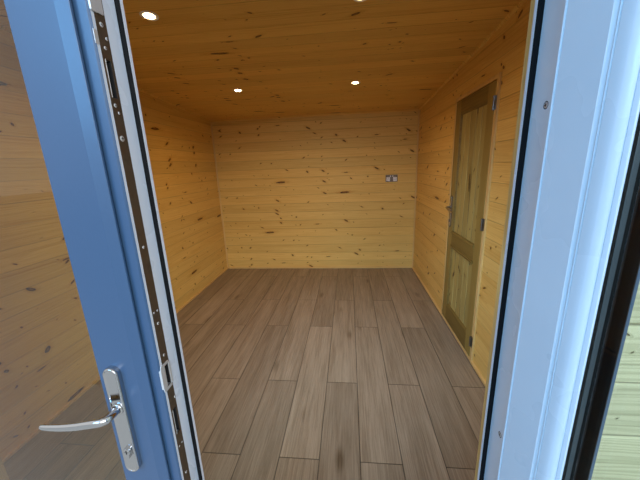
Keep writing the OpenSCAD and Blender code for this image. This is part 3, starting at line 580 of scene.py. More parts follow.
# Pressed steel with fired white enamel: smooth and faintly warm, with a soft highlight on the rim
enamel = metal("fired_white_enamel", "#F1F0EC", 0.3, 0.05, whole=0.0)
# Clear acrylic moulded with 4 mm facets over warm white diodes: a bright, slightly broken glow
lamp_glow, tree = start_material("moulded_acrylic_lens")
here = add(tree, "TexCoord")["Object"]
facets = add(tree, "TexVoronoi", {"Vector": here, "Scale": 260.0})["Distance"]
glow = add(tree, "MapRange", (facets, 0.0, 0.8, 34.0, 24.0))[0]
surface = add(tree, "BsdfPrincipled", {"Base Color": linear("#FFF1D6"), "Roughness": 0.3,
                                       "Emission Color": linear("#FFD79A"), "Emission Strength": glow})[0]
add(tree, "OutputMaterial", {"Surface": surface})
bm = bmesh.new()
tilt = math.atan(roof_fall)
rim = [(42, 1), (42, -1.2), (41.6, -2.2), (40.4, -3.2), (38, -3.9), (36, -4), (33, -3.6), (29, -2.6),
       (26.6, -2)]
lens = [(26.6, -2), (24, -2.5), (16, -2.8), (8, -2.9), (0, -3)]
for lamp_x in (-507, 507):
    for lamp_y in (-663, 497):
        def place(x, y, z, cx=lamp_x, cy=lamp_y):
            return (cx + x, cy + y * math.cos(tilt) + z * math.sin(tilt),
                    ceiling_z(cy) - y * math.sin(tilt) + z * math.cos(tilt))
        turned(bm, rim, place)
        turned(bm, lens, place, slot=1)
        area_light("downlight_beam", "DISK", (0.05, 0.05), 2.2, "#FFC880",
                   [v / 1000 for v in place(0, 0, -6)], spread=150, hidden=True)
settle(bm, "downlight_set", "building", [enamel, lamp_glow], ["downlights"], 50)

# Wall socket. A double flat plate in brushed steel, with two switches, two
# three-hole outlets in white moulding and two fixing screws.


def fillet(points, radius, steps=4):
    """Closed outline with its corners rounded. radius is one number or one for each corner."""
    radii = list(radius) if hasattr(radius, "__len__") else [radius] * len(points)
    rounded = []
    for i, corner in enumerate(points):
        here = Vector(corner)
        before = Vector(points[i - 1]) - here
        after = Vector(points[(i + 1) % len(points)]) - here
        if radii[i] <= 0:
            rounded.append((here.x, here.y))
            continue
        reach = radii[i] / math.tan(before.angle(after) / 2)
        a = here + before.normalized() * reach
        b = here + after.normalized() * reach
        for k in range(steps + 1):
            t = k / steps
            spot = a * (1 - t) ** 2 + here * 2 * t * (1 - t) + b * t ** 2
            rounded.append((spot.x, spot.y))
    return rounded


def layered(bm, layers, place, slot=0):
    """A stack of like outlines, each (outline, height), closed at both ends."""
    rings = [[bm.verts.new(place(p, q, height)) for p, q in outline] for outline, height in layers]
    for a, b in zip(rings, rings[1:]):
        bridge(bm, a, b, slot)
    for end in (rings[0][::-1], rings[-1]):
        bm.faces.new(end).material_index = slot


def plate(bm, cx, cz, w, h, low, high, radius, place, slot=0, ease_by=0.8):
    """A rounded rectangle raised from low to high with an eased edge."""
    def outline(inset):
        a, b = w / 2 - inset, h / 2 - inset
        box = [(cx - a, cz - b), (cx + a, cz - b), (cx + a, cz + b), (cx - a, cz + b)]
        return fillet(box, max(radius - inset, 0.2), 5)
    eased = [(outline(0), low), (outline(0), high - ease_by), (outline(ease_by * 0.3), high - ease_by * 0.3),
             (outline(ease_by), high)]
    layered(bm, eased, place, slot)


def on_back_wall(p, q, height):
    """Socket plate coordinates: right, up and out of the back wall."""
    return (974 + p, room_end - height, 1375 + q)


# Stainless steel brushed from side to side: dull grey, its sheen drawn out in level lines 0.5 mm apart,
# five times as coarse as real brushing
brushed = metal("brushed_stainless_steel", "#8F8D88", 0.32, 0.25, (1.0, 1.0, 30.0), 60.0)
# White urea pressed in a polished tool: even, hard and glossy
moulded_white = plastic("pressed_white_moulding", "#EDEDE8", 0.35, 0.05, coat=0.2)
# Painted shade: a matt, almost black sheet laid in holes, slots, drilled rings and cross cuts. It stands for
# the shade deep inside them, so that each reads as a hole
hole_shade_black = plastic("painted_hole_shade", "#141312", 0.8, 0.1)
bm = bmesh.new()
plate(bm, 0, 0, 146, 86, 0, 6, 5, on_back_wall, 0, 1.5)
for side in (-1, 1):
    plate(bm, side * 42, -10, 46, 50, 5.8, 6.6, 3, on_back_wall, 1)
    plate(bm, side * 14, 26, 11, 19, 5.8, 8.2, 2, on_back_wall, 1)
    # The outlet's three holes, drawn as black patches of painted shade: earth above, line and neutral below
    for p, q, w, h in ((0, 4, 4.5, 8.5), (-11, -18, 6.8, 4.2), (11, -18, 6.8, 4.2)):
        plate(bm, side * 42 + p, q, w, h, 6.4, 6.75, 0.4, on_back_wall, 2, 0.1)
    turned(bm, [(0, 7), (2.2, 7), (3.4, 6.2), (3.4, 5.8)],
           lambda x, y, z, s=side: on_back_wall(s * 60.3 + x, y, z), 16)
settle(bm, "socket_plate", "building", [brushed, moulded_white, hole_shade_black], ["wall_socket"])

# French door frame. A 70 mm plastic section, mitred and welded at the head,
# with a grey foil on the outside, white inside, and a black gasket on the
# upstand that the leaves close on. Each jamb stands on an aluminium threshold.


def ring(bm, x0, x1, z0, z1, outline, place, slot=0, foot=True):
    """Mitred lengths of a section round a rectangle, or with square feet. outline is (depth, width)."""
    corners = ((x0, z0, 1, 1), (x1, z0, -1, 1), (x1, z1, -1, -1), (x0, z1, 1, -1))
    if not foot:
        corners = ((x0, z0, 1, 0), (x0, z1, 1, -1), (x1, z1, -1, -1), (x1, z0, -1, 0))
    loops = [[bm.verts.new(place(x + sx * w, d, z + sz * w)) for d, w in outline]
             for x, z, sx, sz in corners]
    for a, b in zip(loops, loops[1:]):
        bridge(bm, a, b, slot, outline)
    if foot:
        bridge(bm, loops[3], loops[0], slot, outline)
    else:
        bm.faces.new(loops[0][::-1])
        bm.faces.new(loops[3])


def screw_head(bm, p, z, radius, at, base=0.0):
    """Raised countersunk head with a cross on it, drawn in black as painted shade of the cross cut."""
    dome = ((0, 1.1), (0.5, 1.0), (0.9, 0.6), (1, 0.2), (1, -0.3))
    dome = [(radius * part, base + rise) for part, rise in dome]
    turned(bm, dome, lambda x, y, h: at(p + x, z + y, h), 18, 1)
    for w, h in ((radius * 1.15, radius * 0.26), (radius * 0.26, radius * 1.15)):
        plate(bm, p, z, w, h, base + 0.7, base + 1.15, 0.1, at, 2, 0.05)


# Embossed grey foil laminated on plastic: slate blue-grey, satin, with a fine upright grain that is
# 0.7 mm wide and 6 mm long, twice the real one's size
foil = plastic("embossed_grey_foil", "#3B5672", 0.34, 0.22, 1500.0, 0.25, (1.0, 1.0, 0.12))
# White plastic drawn through a polished die: bright and smooth, with a clear soft highlight
white_upvc = plastic("extruded_white_plastic", "#E8EEF3", 0.28, 0.04, 500.0, 0.3)
# Extruded black rubber: matt, with next to no highlight
gasket = plastic("extruded_black_rubber", "#0E1012", 0.7, 0.15, gloss=0.15)
# Aluminium as it left the die: light grey, drawn out in fine lines along the threshold
mill = metal("extruded_aluminium", "#A6A9AB", 0.38, 0.2, (0.05, 1.0, 1.0), 900.0)
frame_outline = fillet([(0, 0), (70, 0), (70, 56), (61, 56), (61, 47), (3, 47), (0, 44)],
                       [1, 1, 2, 1, 1, 0.6, 0.6])
seal_outline = fillet([(58.4, 47.2), (61.2, 47.2), (61.2, 55.8), (59, 55.8), (57.6, 51.5)],
                      [1, 0, 0, 1, 1.5], 3)
frame_face = -1747
frame_head = 2235
bm = bmesh.new()
ring(bm, door_left, door_right, 218, frame_head, frame_outline, lambda x, d, z: (x, frame_face + d, z),
     lambda d, w: 0 if d < 2.2 or (w < 1 and d < 14) else 1, foot=False)
settle(bm, "door_frame_section", "building", [foil, white_upvc], ["door_frame"])
bm = bmesh.new()
ring(bm, door_left, door_right, 219, frame_head, seal_outline, lambda x, d, z: (x, frame_face + d, z),
     foot=False)
settle(bm, "frame_gasket", "building", [gasket])
# Steel screws and keeps with bright zinc plate: pale silver with a broad soft glint. The plate's thin
# white bloom is why it is only about half a mirror
bright_steel = metal("bright_zinc_plate", "#DEDFDC", 0.46, 0.15, whole=0.55)
bm = bmesh.new()
for face, out in ((-645, 1), (733, -1)):
    # Fixings through the frame, about 600 mm apart up each jamb, each in a black ring of painted shade round
    # the drilled hole
    for z in (430, 1028, 1630, 2090):
        def on_jamb(p, q, h, f=face, o=out):
            return (f + o * h, frame_face + p, q)
        drilled = [(5.8, 0), (5.6, 0.15), (4.4, 0.1)]
        turned(bm, drilled, lambda x, y, h, z=z: on_jamb(23 + x, z + y, h), 18, 2)
        screw_head(bm, 23, z, 4.4, on_jamb, -0.4)
settle(bm, "frame_fixings", "building", [white_upvc, bright_steel, hole_shade_black])
dress("door_threshold", mill, 1)
dress("door_reveal", pine_upright, 2)

# Left leaf. The second leaf of the pair: a 70 mm sash with a lapping flange, a
# bevelled outer face in foil, double glazing held by beads clipped in from the
# room. It stays shut, and the meeting post is screwed to its edge.


def sash_slot(d, w):
    """Foil on what faces outwards, the black glazing bed behind the glass, white on the rest."""
    if 20.9 < d < 21.1:
        return 2
    return 0 if (w < 14 and d < 10.6) or (w >= 14 and d < 12) or (w > 105 and d < 20.8) else 1


# Sections are (depth from the outer face, width from the flange's edge)
sash_outline = fillet([(6, 0), (10.5, 0), (10.5, 13.5), (69, 13.5), (69, 16.4), (67.2, 17.0), (67.2, 19.0),
                       (69, 19.6), (69, 74.8), (66.4, 78.4), (64, 79), (21, 79), (21, 108), (11, 108),
                       (0, 99), (0, 19)],
                      [1.5, 1, 0, 2.0, 0.4, 0.3, 0.3, 0.4, 1.2, 0.8, 0, 0, 0.5, 1.5, 2, 1.5])
turns = [math.radians(a) for a in range(8, 81, 8)]
crown = [(58.5 + 10.2 * math.cos(a), 85 + 19.3 * math.sin(a)) for a in turns]
bead_outline = fillet([(49, 79.1), (65.2, 79.1), (65.6, 80.2), (68.8, 80.8), (68.8, 82), (67.3, 82.7),
                       (67.3, 83.7), (69, 84.5)] + crown + [(61, 104.8), (59.4, 109), (56.5, 109),
                                                            (49, 104.2)],
                      [0, 0.3, 0.3, 0.5, 0.5, 0.3, 0.3, 0.5] + [0] * len(crown) + [0.3, 1.2, 0, 0])
spacer_outline = fillet([(25.4, 85), (44.9, 85), (44.9, 101), (42.6, 102), (36, 102), (36, 100.6),
                         (25.4, 100.6)], [0, 0, 1, 1, 0.5, 0, 0])
# Glazing gaskets on both sides of the unit, and the seals behind the flange and in the rebate
gasket_outlines = [
    [(49.1, 104.0), (56.6, 108.8), (57.0, 109.6), (50.2, 106.4), (49.1, 106.4)],
    [(16.5, 107.4), (21.2, 107.4), (21.2, 111.2), (19, 110.6)],
    [(10.4, 2.5), (13, 3.5), (13.6, 6), (10.4, 8)],
    [(58, 13.6), (58, 11.2), (62.5, 10.2), (64.5, 11.6), (64.5, 13.6)],
]
sash_face = -1761
sash_back = -1692


def glass(name):
    """Clear float glass in a sealed unit, drawn out level on molten tin.

    To the eye it is nearly nothing: a faint green tint, a sky reflection that grows towards grazing,
    and a slight wave about 300 mm long. It is drawn thin, each pane with its own two faces.
    """
    made, tree = start_material(name)
    here = add(tree, "TexCoord")["Object"]
    wave = add(tree, "TexNoise", {"Vector": here, "Scale": 3.0, "Detail": 1.0})[0]
    bump = add(tree, "Bump", {"Strength": 0.02, "Distance": 0.001, "Height": wave})[0]
    clear = add(tree, "BsdfTransparent", {"Color": (0.955, 0.985, 0.970, 1.0)})[0]
    shine = add(tree, "BsdfGlossy", {"Roughness": 0.015, "Normal": bump})[0]
    edge = add(tree, "Fresnel", {"IOR": 1.45})[0]
    behind = add(tree, "NewGeometry")["Backfacing"]
    front = add(tree, "Math", (1.0, behind), operation="SUBTRACT")[0]
    share = add(tree, "Math", (edge, front), operation="MULTIPLY")[0]
    both = add(tree, "MixShader", (share, clear, shine))[0]
    add(tree, "OutputMaterial", {"Surface": both})
    return made


def leaf(side, x0, place, body):
    """One glazed leaf, drawn closed with its flange corner at x0."""
    x1 = x0 + 690.25
    z0 = 195.5
    z1 = 2196

    def depth(x, d, z):
        return place(x, sash_face + d, z)

    bm = bmesh.new()
    ring(bm, x0, x1, z0, z1, sash_outline, depth, sash_slot)
    settle(bm, side + "_sash_section", body, [foil, white_upvc, gasket], [side + "_sash"],
           25)
    bm = bmesh.new()
    ring(bm, x0, x1, z0, z1, bead_outline, depth)
    settle(bm, side + "_glazing_beads", body, [white_upvc], [side + "_beads"], 25)
    bm = bmesh.new()
    for strip in gasket_outlines:
        ring(bm, x0, x1, z0, z1, strip, depth)
    settle(bm, side + "_gaskets", body, [gasket])
    bm = bmesh.new()
    pane = [(x0 + 84, z0 + 84), (x1 - 84, z0 + 84), (x1 - 84, z1 - 84), (x0 + 84, z1 - 84)]
    for d0, d1 in ((21.3, 25.3), (45, 49)):
        prism(bm, pane, d0, d1, lambda t, p, q: depth(p, t, q))
    settle(bm, side + "_panes", body, [clear_glass], [side + "_glass"], 20)
    # Metal shows next to the inner pane, and black sealant behind it
    bm = bmesh.new()
    ring(bm, x0, x1, z0, z1, spacer_outline, depth, lambda d, w: 0 if d > 35.9 and w > 100.1 else 1)
    settle(bm, side + "_spacer_bar", body, [spacer, gasket])


def closed(x, y, z):
    """A point of a leaf that stands closed."""
    return (x, y, z)


clear_glass = glass("clear_float_glass")
# Anodised aluminium bar seen through glass: a dark grey line with a dull sheen
spacer = metal("anodised_spacer", "#4A545C", 0.4, 0.1, whole=0.5)
leaf("left", -653, closed, "left_leaf")

# Meeting post. A white section with a foil face, screwed to the left leaf. A
# long zinc-plated keep strip is let into its edge, cut for the latch, the bolt
# and the two hooks, with bright keeps round the holes and cross-head screws.


def upright(t, p, q):
    """Coordinates of what stands along the meeting post."""
    return (p, q, t)


def on_post(p, q, height):
    """Keep strip coordinates: in from the post's outer face, up, and out of its edge."""
    return (post_edge + height, frame_face + p, q)


post_edge = 58.75
post_low = 209
post_high = 2182.5
# The front part is grooved behind the strip; the back part laps over the right leaf's seal
post_front = fillet([(23.75, -1747), (55.75, -1747), (58.75, -1744), (58.75, -1738), (43.75, -1738),
                     (43.75, -1716), (58.75, -1716), (58.75, -1692), (23.75, -1692)],
                    [0, 0.8, 0.8, 0, 0, 0, 0, 0, 0])
post_back = fillet([(13.75, -1692), (58.75, -1692), (58.75, -1686), (67.75, -1686), (67.75, -1677),
                    (13.75, -1677)], [0, 0, 1, 1, 2, 3])
post_seal = fillet([(58.9, -1685.8), (67.6, -1685.8), (67.6, -1688), (63, -1689.4), (59.4, -1688.6)],
                   [0, 0, 1, 1.5, 0.8], 3)
bm = bmesh.new()
prism(bm, post_front, post_low, post_high, upright, lambda p, q: 0 if q < -1743.9 else 1, 1)
prism(bm, post_back, 223.5, 2173.5, upright, 1, 1)
settle(bm, "meeting_post", "left_leaf", [foil, white_upvc], ["meeting_mullion"])
bm = bmesh.new()
prism(bm, post_seal, 224, 2173, upright)
settle(bm, "meeting_post_gasket", "left_leaf", [gasket])

# Zinc plate whose dark brownish grey is painted shade and a painted reflection of the brown room, streaked
# along the strip and browner in broad patches
shade_browned_steel = metal("zinc_plate_painted_shade", "#6E6150", 0.5, 0.3, (1.0, 1.0, 0.1), 500.0, 0.5, 0.75)
# Middle and length of the openings for the latch, the bolt and the two hooks
slots = [(1143, 49), (1026, 63), (560, 56), (1704.5, 56)]
bm = bmesh.new()
edges = [post_low]
for z, length in sorted(slots):
    edges += [z - length / 2, z + length / 2]
edges.append(post_high)
# The strip's face between the openings, its colour carrying painted shade and a painted reflection of the
# room
for low, high in zip(edges[::2], edges[1::2]):
    plate(bm, 20, (low + high) / 2, 21.8, high - low, -1.8, 0.3, 1.2, on_post, 0, 0.5)
for z, length in slots:
    for p in (11.8, 28.2):
        plate(bm, p, z, 5.4, length + 0.4, -1.8, 0.3, 0.4, on_post, 0, 0.3)
    # The slot's floor and sides are black sheets of painted shade, standing for the dark deep opening
    plate(bm, 20, z, 11, length, -13.8, -13, 0.5, on_post, 2, 0.2)
    for p in (14.8, 25.2):
        plate(bm, p, z, 0.7, length, -13, 0.2, 0.2, on_post, 2, 0.1)
    plate(bm, 14.0, z, 1.2, length, -0.2, 0.9, 0.4, on_post, 1, 0.3)
# Latch keep with a lip that bends round the post's outer edge
for z0, z1 in ((1112.5, 1118.5), (1167.5, 1173.5)):
    plate(bm, 14.5, (z0 + z1) / 2, 25, z1 - z0, 0.1, 2.0, 1.5, on_post, 1, 0.6)
for p, w in ((6.4, 11), (28.6, 5)):
    plate(bm, p, 1143, w, 51, 0.1, 2.0, 1.0, on_post, 1, 0.6)
plate(bm, 1.2, 1143, 1.8, 44, -4, 1.6, 0.8, on_post, 1, 0.5)
# Hook keeps: a box over the slot's end, held by cross-head screws
for z in (1704.5, 560):
    up = 1 if z > 1000 else -1
    plate(bm, 8.5, z + up * 122, 13, 62, 0.1, 3.0, 2.0, on_post, 1, 1.0)
    plate(bm, 22, z + up * 122, 12, 58, 0.1, 1.8, 2.0, on_post, 1, 0.8)
    for p, rise, radius in ((20, 78, 3.6), (25.5, 60, 2.6), (19, 45, 2.8), (17, -40, 3.2), (22, -51, 2.4)):
        screw_head(bm, p, z + up * rise, radius, on_post, 0.3)
    screw_head(bm, 18, z - up * 92, 4.8, on_post, 0.4)
    plate(bm, 4.5, z + up * 56, 8, 20, -0.1, 0.7, 1.0, on_post, 1, 0.4)
for z in (1288, 961):
    for p in (14.5, 25):
        screw_head(bm, p, z, 2.0, on_post, 0.2)
for p, z in ((20, 1262), (20, 1190), (29.5, 1080), (20, 880), (20, 760), (20, 400), (20, 280), (20, 1420),
             (20, 1930), (20, 2060)):
    screw_head(bm, p, z, 3.0, on_post, 0.3)
settle(bm, "keep_strip_plates", "left_leaf", [shade_browned_steel, bright_steel, hole_shade_black], ["keep_strip"],
       40)

# Handles. Chrome-plated: a long back plate with a raised rim and round ends, a
# profile cylinder 105 mm under the lever, and a slim lever that droops and
# levels out, held by a grub screw under its neck.


def stadium(w, h, cz, inset):
    """Outline of a plate with round ends."""
    r = w / 2 - inset
    half = h / 2 - w / 2
    turns = [math.pi * k / 14 for k in range(15)]
    top = [(r * math.cos(a), cz + half + r * math.sin(a)) for a in turns]
    foot = [(-r * math.cos(a), cz - half - r * math.sin(a)) for a in turns]
    return top + foot


def back_plate(bm, place):
    """Plate with a rim, its cylinder and keyhole. place(x, out, z) from the spindle."""
    def at(p, q, h):
        return place(p, h, q)

    steps = [(0, 0), (0, 7.0), (0.5, 9.8), (1.6, 11.4), (2.8, 12.0), (3.8, 11.8), (5.0, 10.4), (6.2, 10.2)]
    layered(bm, [(stadium(32, 258, -35, i), h) for i, h in steps], at)
    turned(bm, [(12.6, 10.0), (12.6, 13.0), (11.4, 14.4), (9.0, 14.8)], at)
    turns = [math.radians(-50 + k * 280 / 24) for k in range(25)]
    euro = [(8.4 * math.cos(a), 8.4 * math.sin(a) - 105) for a in turns]
    euro += [(-4.9, -117), (-3.5, -121.5), (0, -122.6), (3.5, -121.5), (4.9, -117)]
    top = [(p * 0.93, -108 + (q + 108) * 0.96) for p, q in euro]
    layered(bm, [(euro, 9.5), (euro, 15.2), (top, 16.0)], at)
    # The key slot and the line across it are black patches of painted shade
    plate(bm, 0, -105.5, 2.2, 9.5, 15.8, 16.3, 0.5, at, 1, 0.1)
    plate(bm, 0, -105.5, 11, 0.7, 15.8, 16.2, 0.2, at, 1, 0.1)


def lever(bm, place, turn=-1):
    """Lever as a swept oval along a smooth path. turn is the side that it points to."""
    # Along, out and up from the spindle, then half the oval's height and thickness there
    path = [(0, 9, 0, 8.3, 8.3), (0, 20, 0, 8.2, 8.2), (0.5, 30, 0, 8.2, 8.2), (3, 38.5, -0.3, 8.4, 8.0),
            (10, 43.5, -1.0, 8.6, 7.2), (22, 45.2, -2.6, 8.6, 6.4), (38, 45.6, -6.2, 8.5, 5.9),
            (56, 45.4, -10.6, 8.4, 5.6), (78, 44.8, -15.0, 8.2, 5.4), (101, 43.8, -18.6, 7.8, 5.2),
            (124, 42.6, -20.8, 7.0, 4.9), (138, 41.8, -21.8, 6.4, 4.6), (145, 41.4, -22.2, 5.0, 3.8),
            (148, 41.2, -22.4, 2.4, 2.0)]
    points = [Vector((turn * x, out, z)) for x, out, z, a, b in path]
    rings = []
    for i, (x, out, z, high, deep) in enumerate(path):
        ahead = points[min(i + 1, len(points) - 1)] - points[max(i - 1, 0)]
        ahead.normalize()
        up = (Vector((0, 0, 1)) - ahead * ahead.z).normalized()
        side = ahead.cross(up)
        turns = [2 * math.pi * k / 24 for k in range(24)]
        spots = [points[i] + up * (high * math.cos(a)) + side * (deep * math.sin(a)) for a in turns]
        rings.append([bm.verts.new(place(s.x, s.y, s.z)) for s in spots])
    for a, b in zip(rings, rings[1:]):
        bridge(bm, a, b)
    bm.faces.new(rings[0][::-1])
    bm.faces.new(rings[-1])
    # The grub screw's hole is a small black disc of painted shade
    grub = [(0, 8.3), (1.4, 8.3), (2.2, 8.5), (2.6, 8.2), (2.6, 7.4)]
    turned(bm, grub, lambda x, y, h: place(turn * 2 + x, 27 + y, -h), 14, 1)


def on_left(side):
    """Spindle coordinates of the left leaf: outside for -1, inside for 1."""
    face = sash_face if side < 0 else sash_back
    return lambda x, out, z: (left_spindle + x, face + side * out, spindle_z + z)


left_spindle = -28.25
right_spindle = 116.25
spindle_z = 1094
square_bar = [(-5, -5), (5, -5), (5, 5), (-5, 5)]
# Cast zinc, polished and chromium plated: a near mirror, faintly cool, almost without a mark
chrome = metal("polished_chrome_plate", "#B8BABC", 0.06, 0.02)
plates = bmesh.new()
levers = bmesh.new()
for side in (-1, 1):
    back_plate(plates, on_left(side))
    lever(levers, on_left(side))
prism(levers, square_bar, sash_face - 10, sash_back + 10,
      lambda t, p, q: (left_spindle + p, t, spindle_z + q))
settle(plates, "left_back_plates", "left_leaf", [chrome, hole_shade_black], ["left_handle_plates"],
       50)
settle(levers, "left_lever_pair", "left_lever", [chrome, hole_shade_black], ["left_lever"], 60)

# Right leaf. The first leaf to open, drawn closed and then swung out 100 degrees
# about its hinge pins, with a lock strip in its meeting edge.

pin_x = 755
pin_y = -1757
swing = Matrix.Rotation(math.radians(100), 3, "Z")


def opened(x, y, z):
    """A point of the right leaf, swung out about its pins."""
    spot = swing @ Vector((x - pin_x, y - pin_y, 0))
    return (pin_x + spot.x, pin_y + spot.y, z)


def on_lock_edge(p, q, height):
    """Lock strip coordinates: in from the strip's middle, up, and out of the leaf's edge."""
    return opened(64.25 - height, -1727 + p, q)


leaf("right", 50.75, opened, "right_leaf")
bm = bmesh.new()
# The lock strip's face has the same painted shade and painted room reflection in its colour as the keep
# strip
plate(bm, 0, 1195.75, 16, 1853.5, -2, 0.1, 3, on_lock_edge, 0, 0.4)
plate(bm, 0, 1143, 8, 32, 0, 3.4, 1.5, on_lock_edge, 1, 1.2)
plate(bm, 0, 1026, 9, 48, 0, 1.0, 1.0, on_lock_edge, 1, 0.4)
for z, length in slots:
    for end in (-1, 1):
        screw_head(bm, 0, z + end * (length / 2 + 18), 3.4, on_lock_edge, 0.1)
settle(bm, "right_lock_strip_face", "right_leaf", [shade_browned_steel, bright_steel, hole_shade_black],
       ["right_lock_strip"])


def on_right(side):
    """Spindle coordinates of the right leaf, closed, then swung."""
    face = sash_face if side < 0 else sash_back
    return lambda x, out, z: opened(right_spindle + x, face + side * out, spindle_z + z)


bm = bmesh.new()
for side in (-1, 1):
    back_plate(bm, on_right(side))
    lever(bm, on_right(side), 1)
settle(bm, "right_handle_set", "right_leaf", [chrome, hole_shade_black], ["right_handle"], 50)

# French door hinges. Zinc-plated flag hinges, three to a leaf, with the pin
# out in front of the face so that the leaf folds back past the frame.

# Steel with satin zinc plate: mid grey with a wide, soft shine
plated = metal("satin_zinc_plate", "#93928D", 0.36, 0.15)
for name in ("fixed_hinges", "left_hinges", "right_hinges", "side_leaf_hinges"):
    dress(name, plated, 0.6)

# Side door. A pine frame lines the wall; in it hangs a green-treated leaf with
# stiles, three rails and two panels of upright V-jointed boards.


def bar(bm, y0, y1, z0, z1, depth0, depth1, slot, cut=2.0):
    """A planed bar of the leaf between two depths from its room face, with eased edges."""
    outline, inner = (fillet([(y0 + c, z0 + c), (y1 - c, z0 + c), (y1 - c, z1 - c), (y0 + c, z1 - c)],
                             0.3, 2) for c in (0, cut))
    layers = [(inner, depth0), (outline, depth0 + cut), (outline, depth1 - cut), (inner, depth1)]
    layered(bm, layers, lambda p, q, h: (room_face + h, p, q), slot)


# Treated pine of stiles and rails, planed: olive brown and satin, with the rails a shade darker
leaf_wood = timber("planed_treated_stile", "#9C8240", "#6A5222", "#3A2610", Z, Y, 0.7, spacing=0.6,
                   size=0.010, tone=0.04, rough=0.55, odd=11.0)
rail_wood = timber("planed_treated_rail", "#8A7136", "#5C461D", "#3A2610", Y, Z, 0.5, spacing=0.6,
                   size=0.010, tone=0.05, rough=0.55, odd=17.0)
# Treated boards of the panels: yellower and uneven in tone, with big knots and wide dark V-joints
panel_boards = timber("planed_treated_panel", "#B8A25C", "#7C662B", "#3A220D", Z, Y, 0.0872, -0.243,
                      spacing=0.5, size=0.022, tone=0.09, rough=0.55, odd=5.0, seam=0.6, knotty=0.4,
                      wide=0.010)
dress("side_door_frame", pine_upright, 2)
room_face = 1268
outer_face = 1308
panels = ((358, 894), (986, 1893))
bm = bmesh.new()
for y0, y1 in ((-335, -243), (193, 285)):
    bar(bm, y0, y1, 218, 1985, 0, 40, 0)
for z0, z1 in ((218, 358), (894, 986), (1893, 1985)):
    bar(bm, -243.2, 193.2, z0, z1, 0.4, 39.6, 1, 1.5)
settle(bm, "side_leaf_frame", "side_leaf", [leaf_wood, rail_wood], ["side_leaf"], 25)
bm = bmesh.new()
for face, out in ((room_face + 13, 1), (room_face + 27, -1)):
    for z0, z1 in panels:
        for k in range(5):
            y0, y1 = -243 + 87.2 * k, -243 + 87.2 * (k + 1)
            section = plank_section(y0, y1, 6.8, 5 if k else 0, 5 if k < 4 else 0, 0.1)
            prism(bm, section, z0, z1, lambda t, p, q, f=face, o=out: (f + o * q, p, t))
settle(bm, "side_leaf_panels", "side_leaf", [panel_boards], ["side_leaf_boards"], 20)

# Mouldings of the side door: a small ogee bead planted round each panel, and a
# stouter one above and below the middle rail.

bm = bmesh.new()
ogee = fillet([(2, 0), (12.9, 0), (12.9, 13), (10, 12), (8, 8.5), (4, 7), (3, 3.5), (2, 3)],
              [0, 0, 0, 1, 2, 1.5, 1, 0.5])
rail = [(-2, 0), (-8, 3), (-9, 9), (-5, 13), (-6, 17), (-3, 21), (12, 22), (12, 0)]
for face, out in ((room_face, 1), (outer_face, -1)):
    for z0, z1 in panels:
        ring(bm, -243, 193, z0, z1, ogee, lambda x, d, z, f=face, o=out: (f + o * d, x, z))
    for z, up in ((894, -1), (986, 1)):
        prism(bm, [(d, z + up * w) for d, w in rail], -240, 190,
              lambda t, p, q, f=face, o=out: (f + o * p, t, q))
settle(bm, "side_leaf_mouldings", "side_leaf", [rail_wood], angle=30)


def on_side(side):
    """Spindle coordinates of the side door: room face for -1, outer face for 1."""
    face = room_face if side < 0 else outer_face
    return lambda x, out, z: (face + side * out, 240 - x, 1195 + z)


plates = bmesh.new()
levers = bmesh.new()
for side in (-1, 1):
    back_plate(plates, on_side(side))
    lever(levers, on_side(side), 1)
prism(levers, square_bar, room_face - 10, outer_face + 10, lambda t, p, q: (t, 240 + p, 1195 + q))
settle(plates, "side_back_plates", "side_leaf", [chrome, hole_shade_black], ["side_handle_plates"],
       50)
settle(levers, "side_lever_pair", "side_lever", [chrome, hole_shade_black], ["side_lever"], 60)

# Studio. A plain pale floor under an even cool sky that the camera sees as white,
# two softboxes in front, and a hidden lamp for the daylight inside the doorway.


def seen_directly(tree):
    """1 for what the camera sees of the studio, mirrored and through glass too, and 0 for its light."""
    ray = add(tree, "LightPath")
    seen = add(tree, "Math", (ray["Is Glossy Ray"], ray["Is Transmission Ray"]), operation="MAXIMUM")[0]
    return add(tree, "Math", (ray["Is Camera Ray"], seen), operation="MAXIMUM")[0]


bpy.ops.mesh.primitive_plane_add(size=60, location=(0, 0, 0))
ground = bpy.context.object
ground.name = "studio_floor"
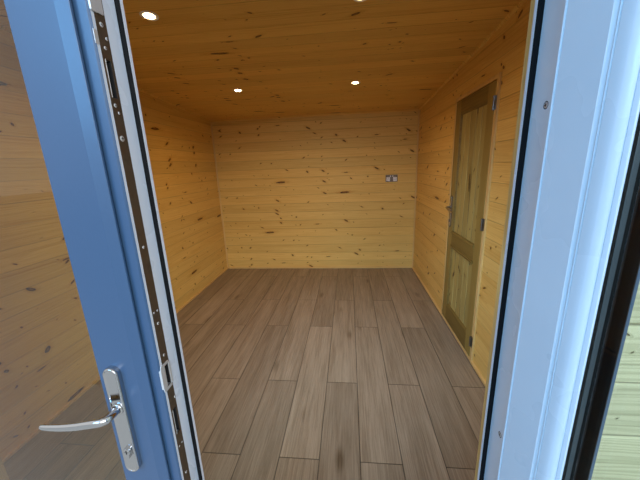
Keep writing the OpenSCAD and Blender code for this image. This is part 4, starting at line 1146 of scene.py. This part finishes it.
# Matt backdrop paper: its bounce is weak and warm, and what is seen of it is lifted to a pale grey
pale, tree = start_material("backdrop_paper")
share = add(tree, "Math", (seen_directly(tree), 0.45), operation="MULTIPLY")[0]
paper = add(tree, "BsdfPrincipled", {"Base Color": linear("#A09382"), "Roughness": 0.8})[0]
white = add(tree, "Emission", {"Color": (1.0, 1.0, 1.0, 1.0), "Strength": 1.0})[0]
surface = add(tree, "MixShader", (share, paper, white))[0]
add(tree, "OutputMaterial", {"Surface": surface})
ground.data.materials.append(pale)
ground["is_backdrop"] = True

world = bpy.data.worlds.new("studio_sky")
bpy.context.scene.world = world
world.use_nodes = True
tree = world.node_tree
tree.nodes.clear()
soft = add(tree, "Background", {"Color": linear("#A2CEF8"), "Strength": 1.0})[0]
white = add(tree, "Background", {"Color": (1.0, 1.0, 1.0, 1.0), "Strength": 1.0})[0]
both = add(tree, "MixShader", (seen_directly(tree), soft, white))[0]
add(tree, "OutputWorld", {"Surface": both})

area_light("front_softbox", "RECTANGLE", (4.0, 3.0), 280, "#F0F5FF", (2.4, -6.5, 3.6), (0.4, -1.7, 1.1))
area_light("left_softbox", "RECTANGLE", (3.0, 3.0), 270, "#74C0FF", (-2.4, -7.0, 4.2), (0.6, -1.7, 1.0))
area_light("doorway_daylight", "RECTANGLE", (0.6, 0.8), 13, "#B4D4FF", (0.40, -1.45, 1.70),
           (0.35, 0.7, 0.0), spread=100, hidden=True)

# Camera at eye height in front of the open doorway. 16.54 mm on a 36 mm frame is 294 pixels on 640
camera_data = bpy.data.cameras.new("photo_camera")
camera_data.lens = 16.54
camera_data.sensor_width = 36
camera_data.clip_start = 0.01
camera = bpy.data.objects.new("photo_camera", camera_data)
bpy.context.scene.collection.objects.link(camera)
bpy.context.scene.camera = camera
pitch_down, yaw, roll = (math.radians(a) for a in (14.1, 5.9, -2.16))
turn = Matrix.Rotation(roll, 3, "Z") @ Matrix.Rotation(pitch_down, 3, "X") @ Matrix.Rotation(yaw, 3, "Y")
turn = turn @ Matrix(((1, 0, 0), (0, 0, -1), (0, 1, 0)))
basis = Matrix((turn[0], -turn[1], -turn[2])).transposed()
camera.matrix_world = Matrix.Translation((0.442, -2.223, 1.555)) @ basis.to_4x4()
bpy.context.scene.view_settings.view_transform = "Standard"

bpy.context.view_layer.update()
low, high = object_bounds()
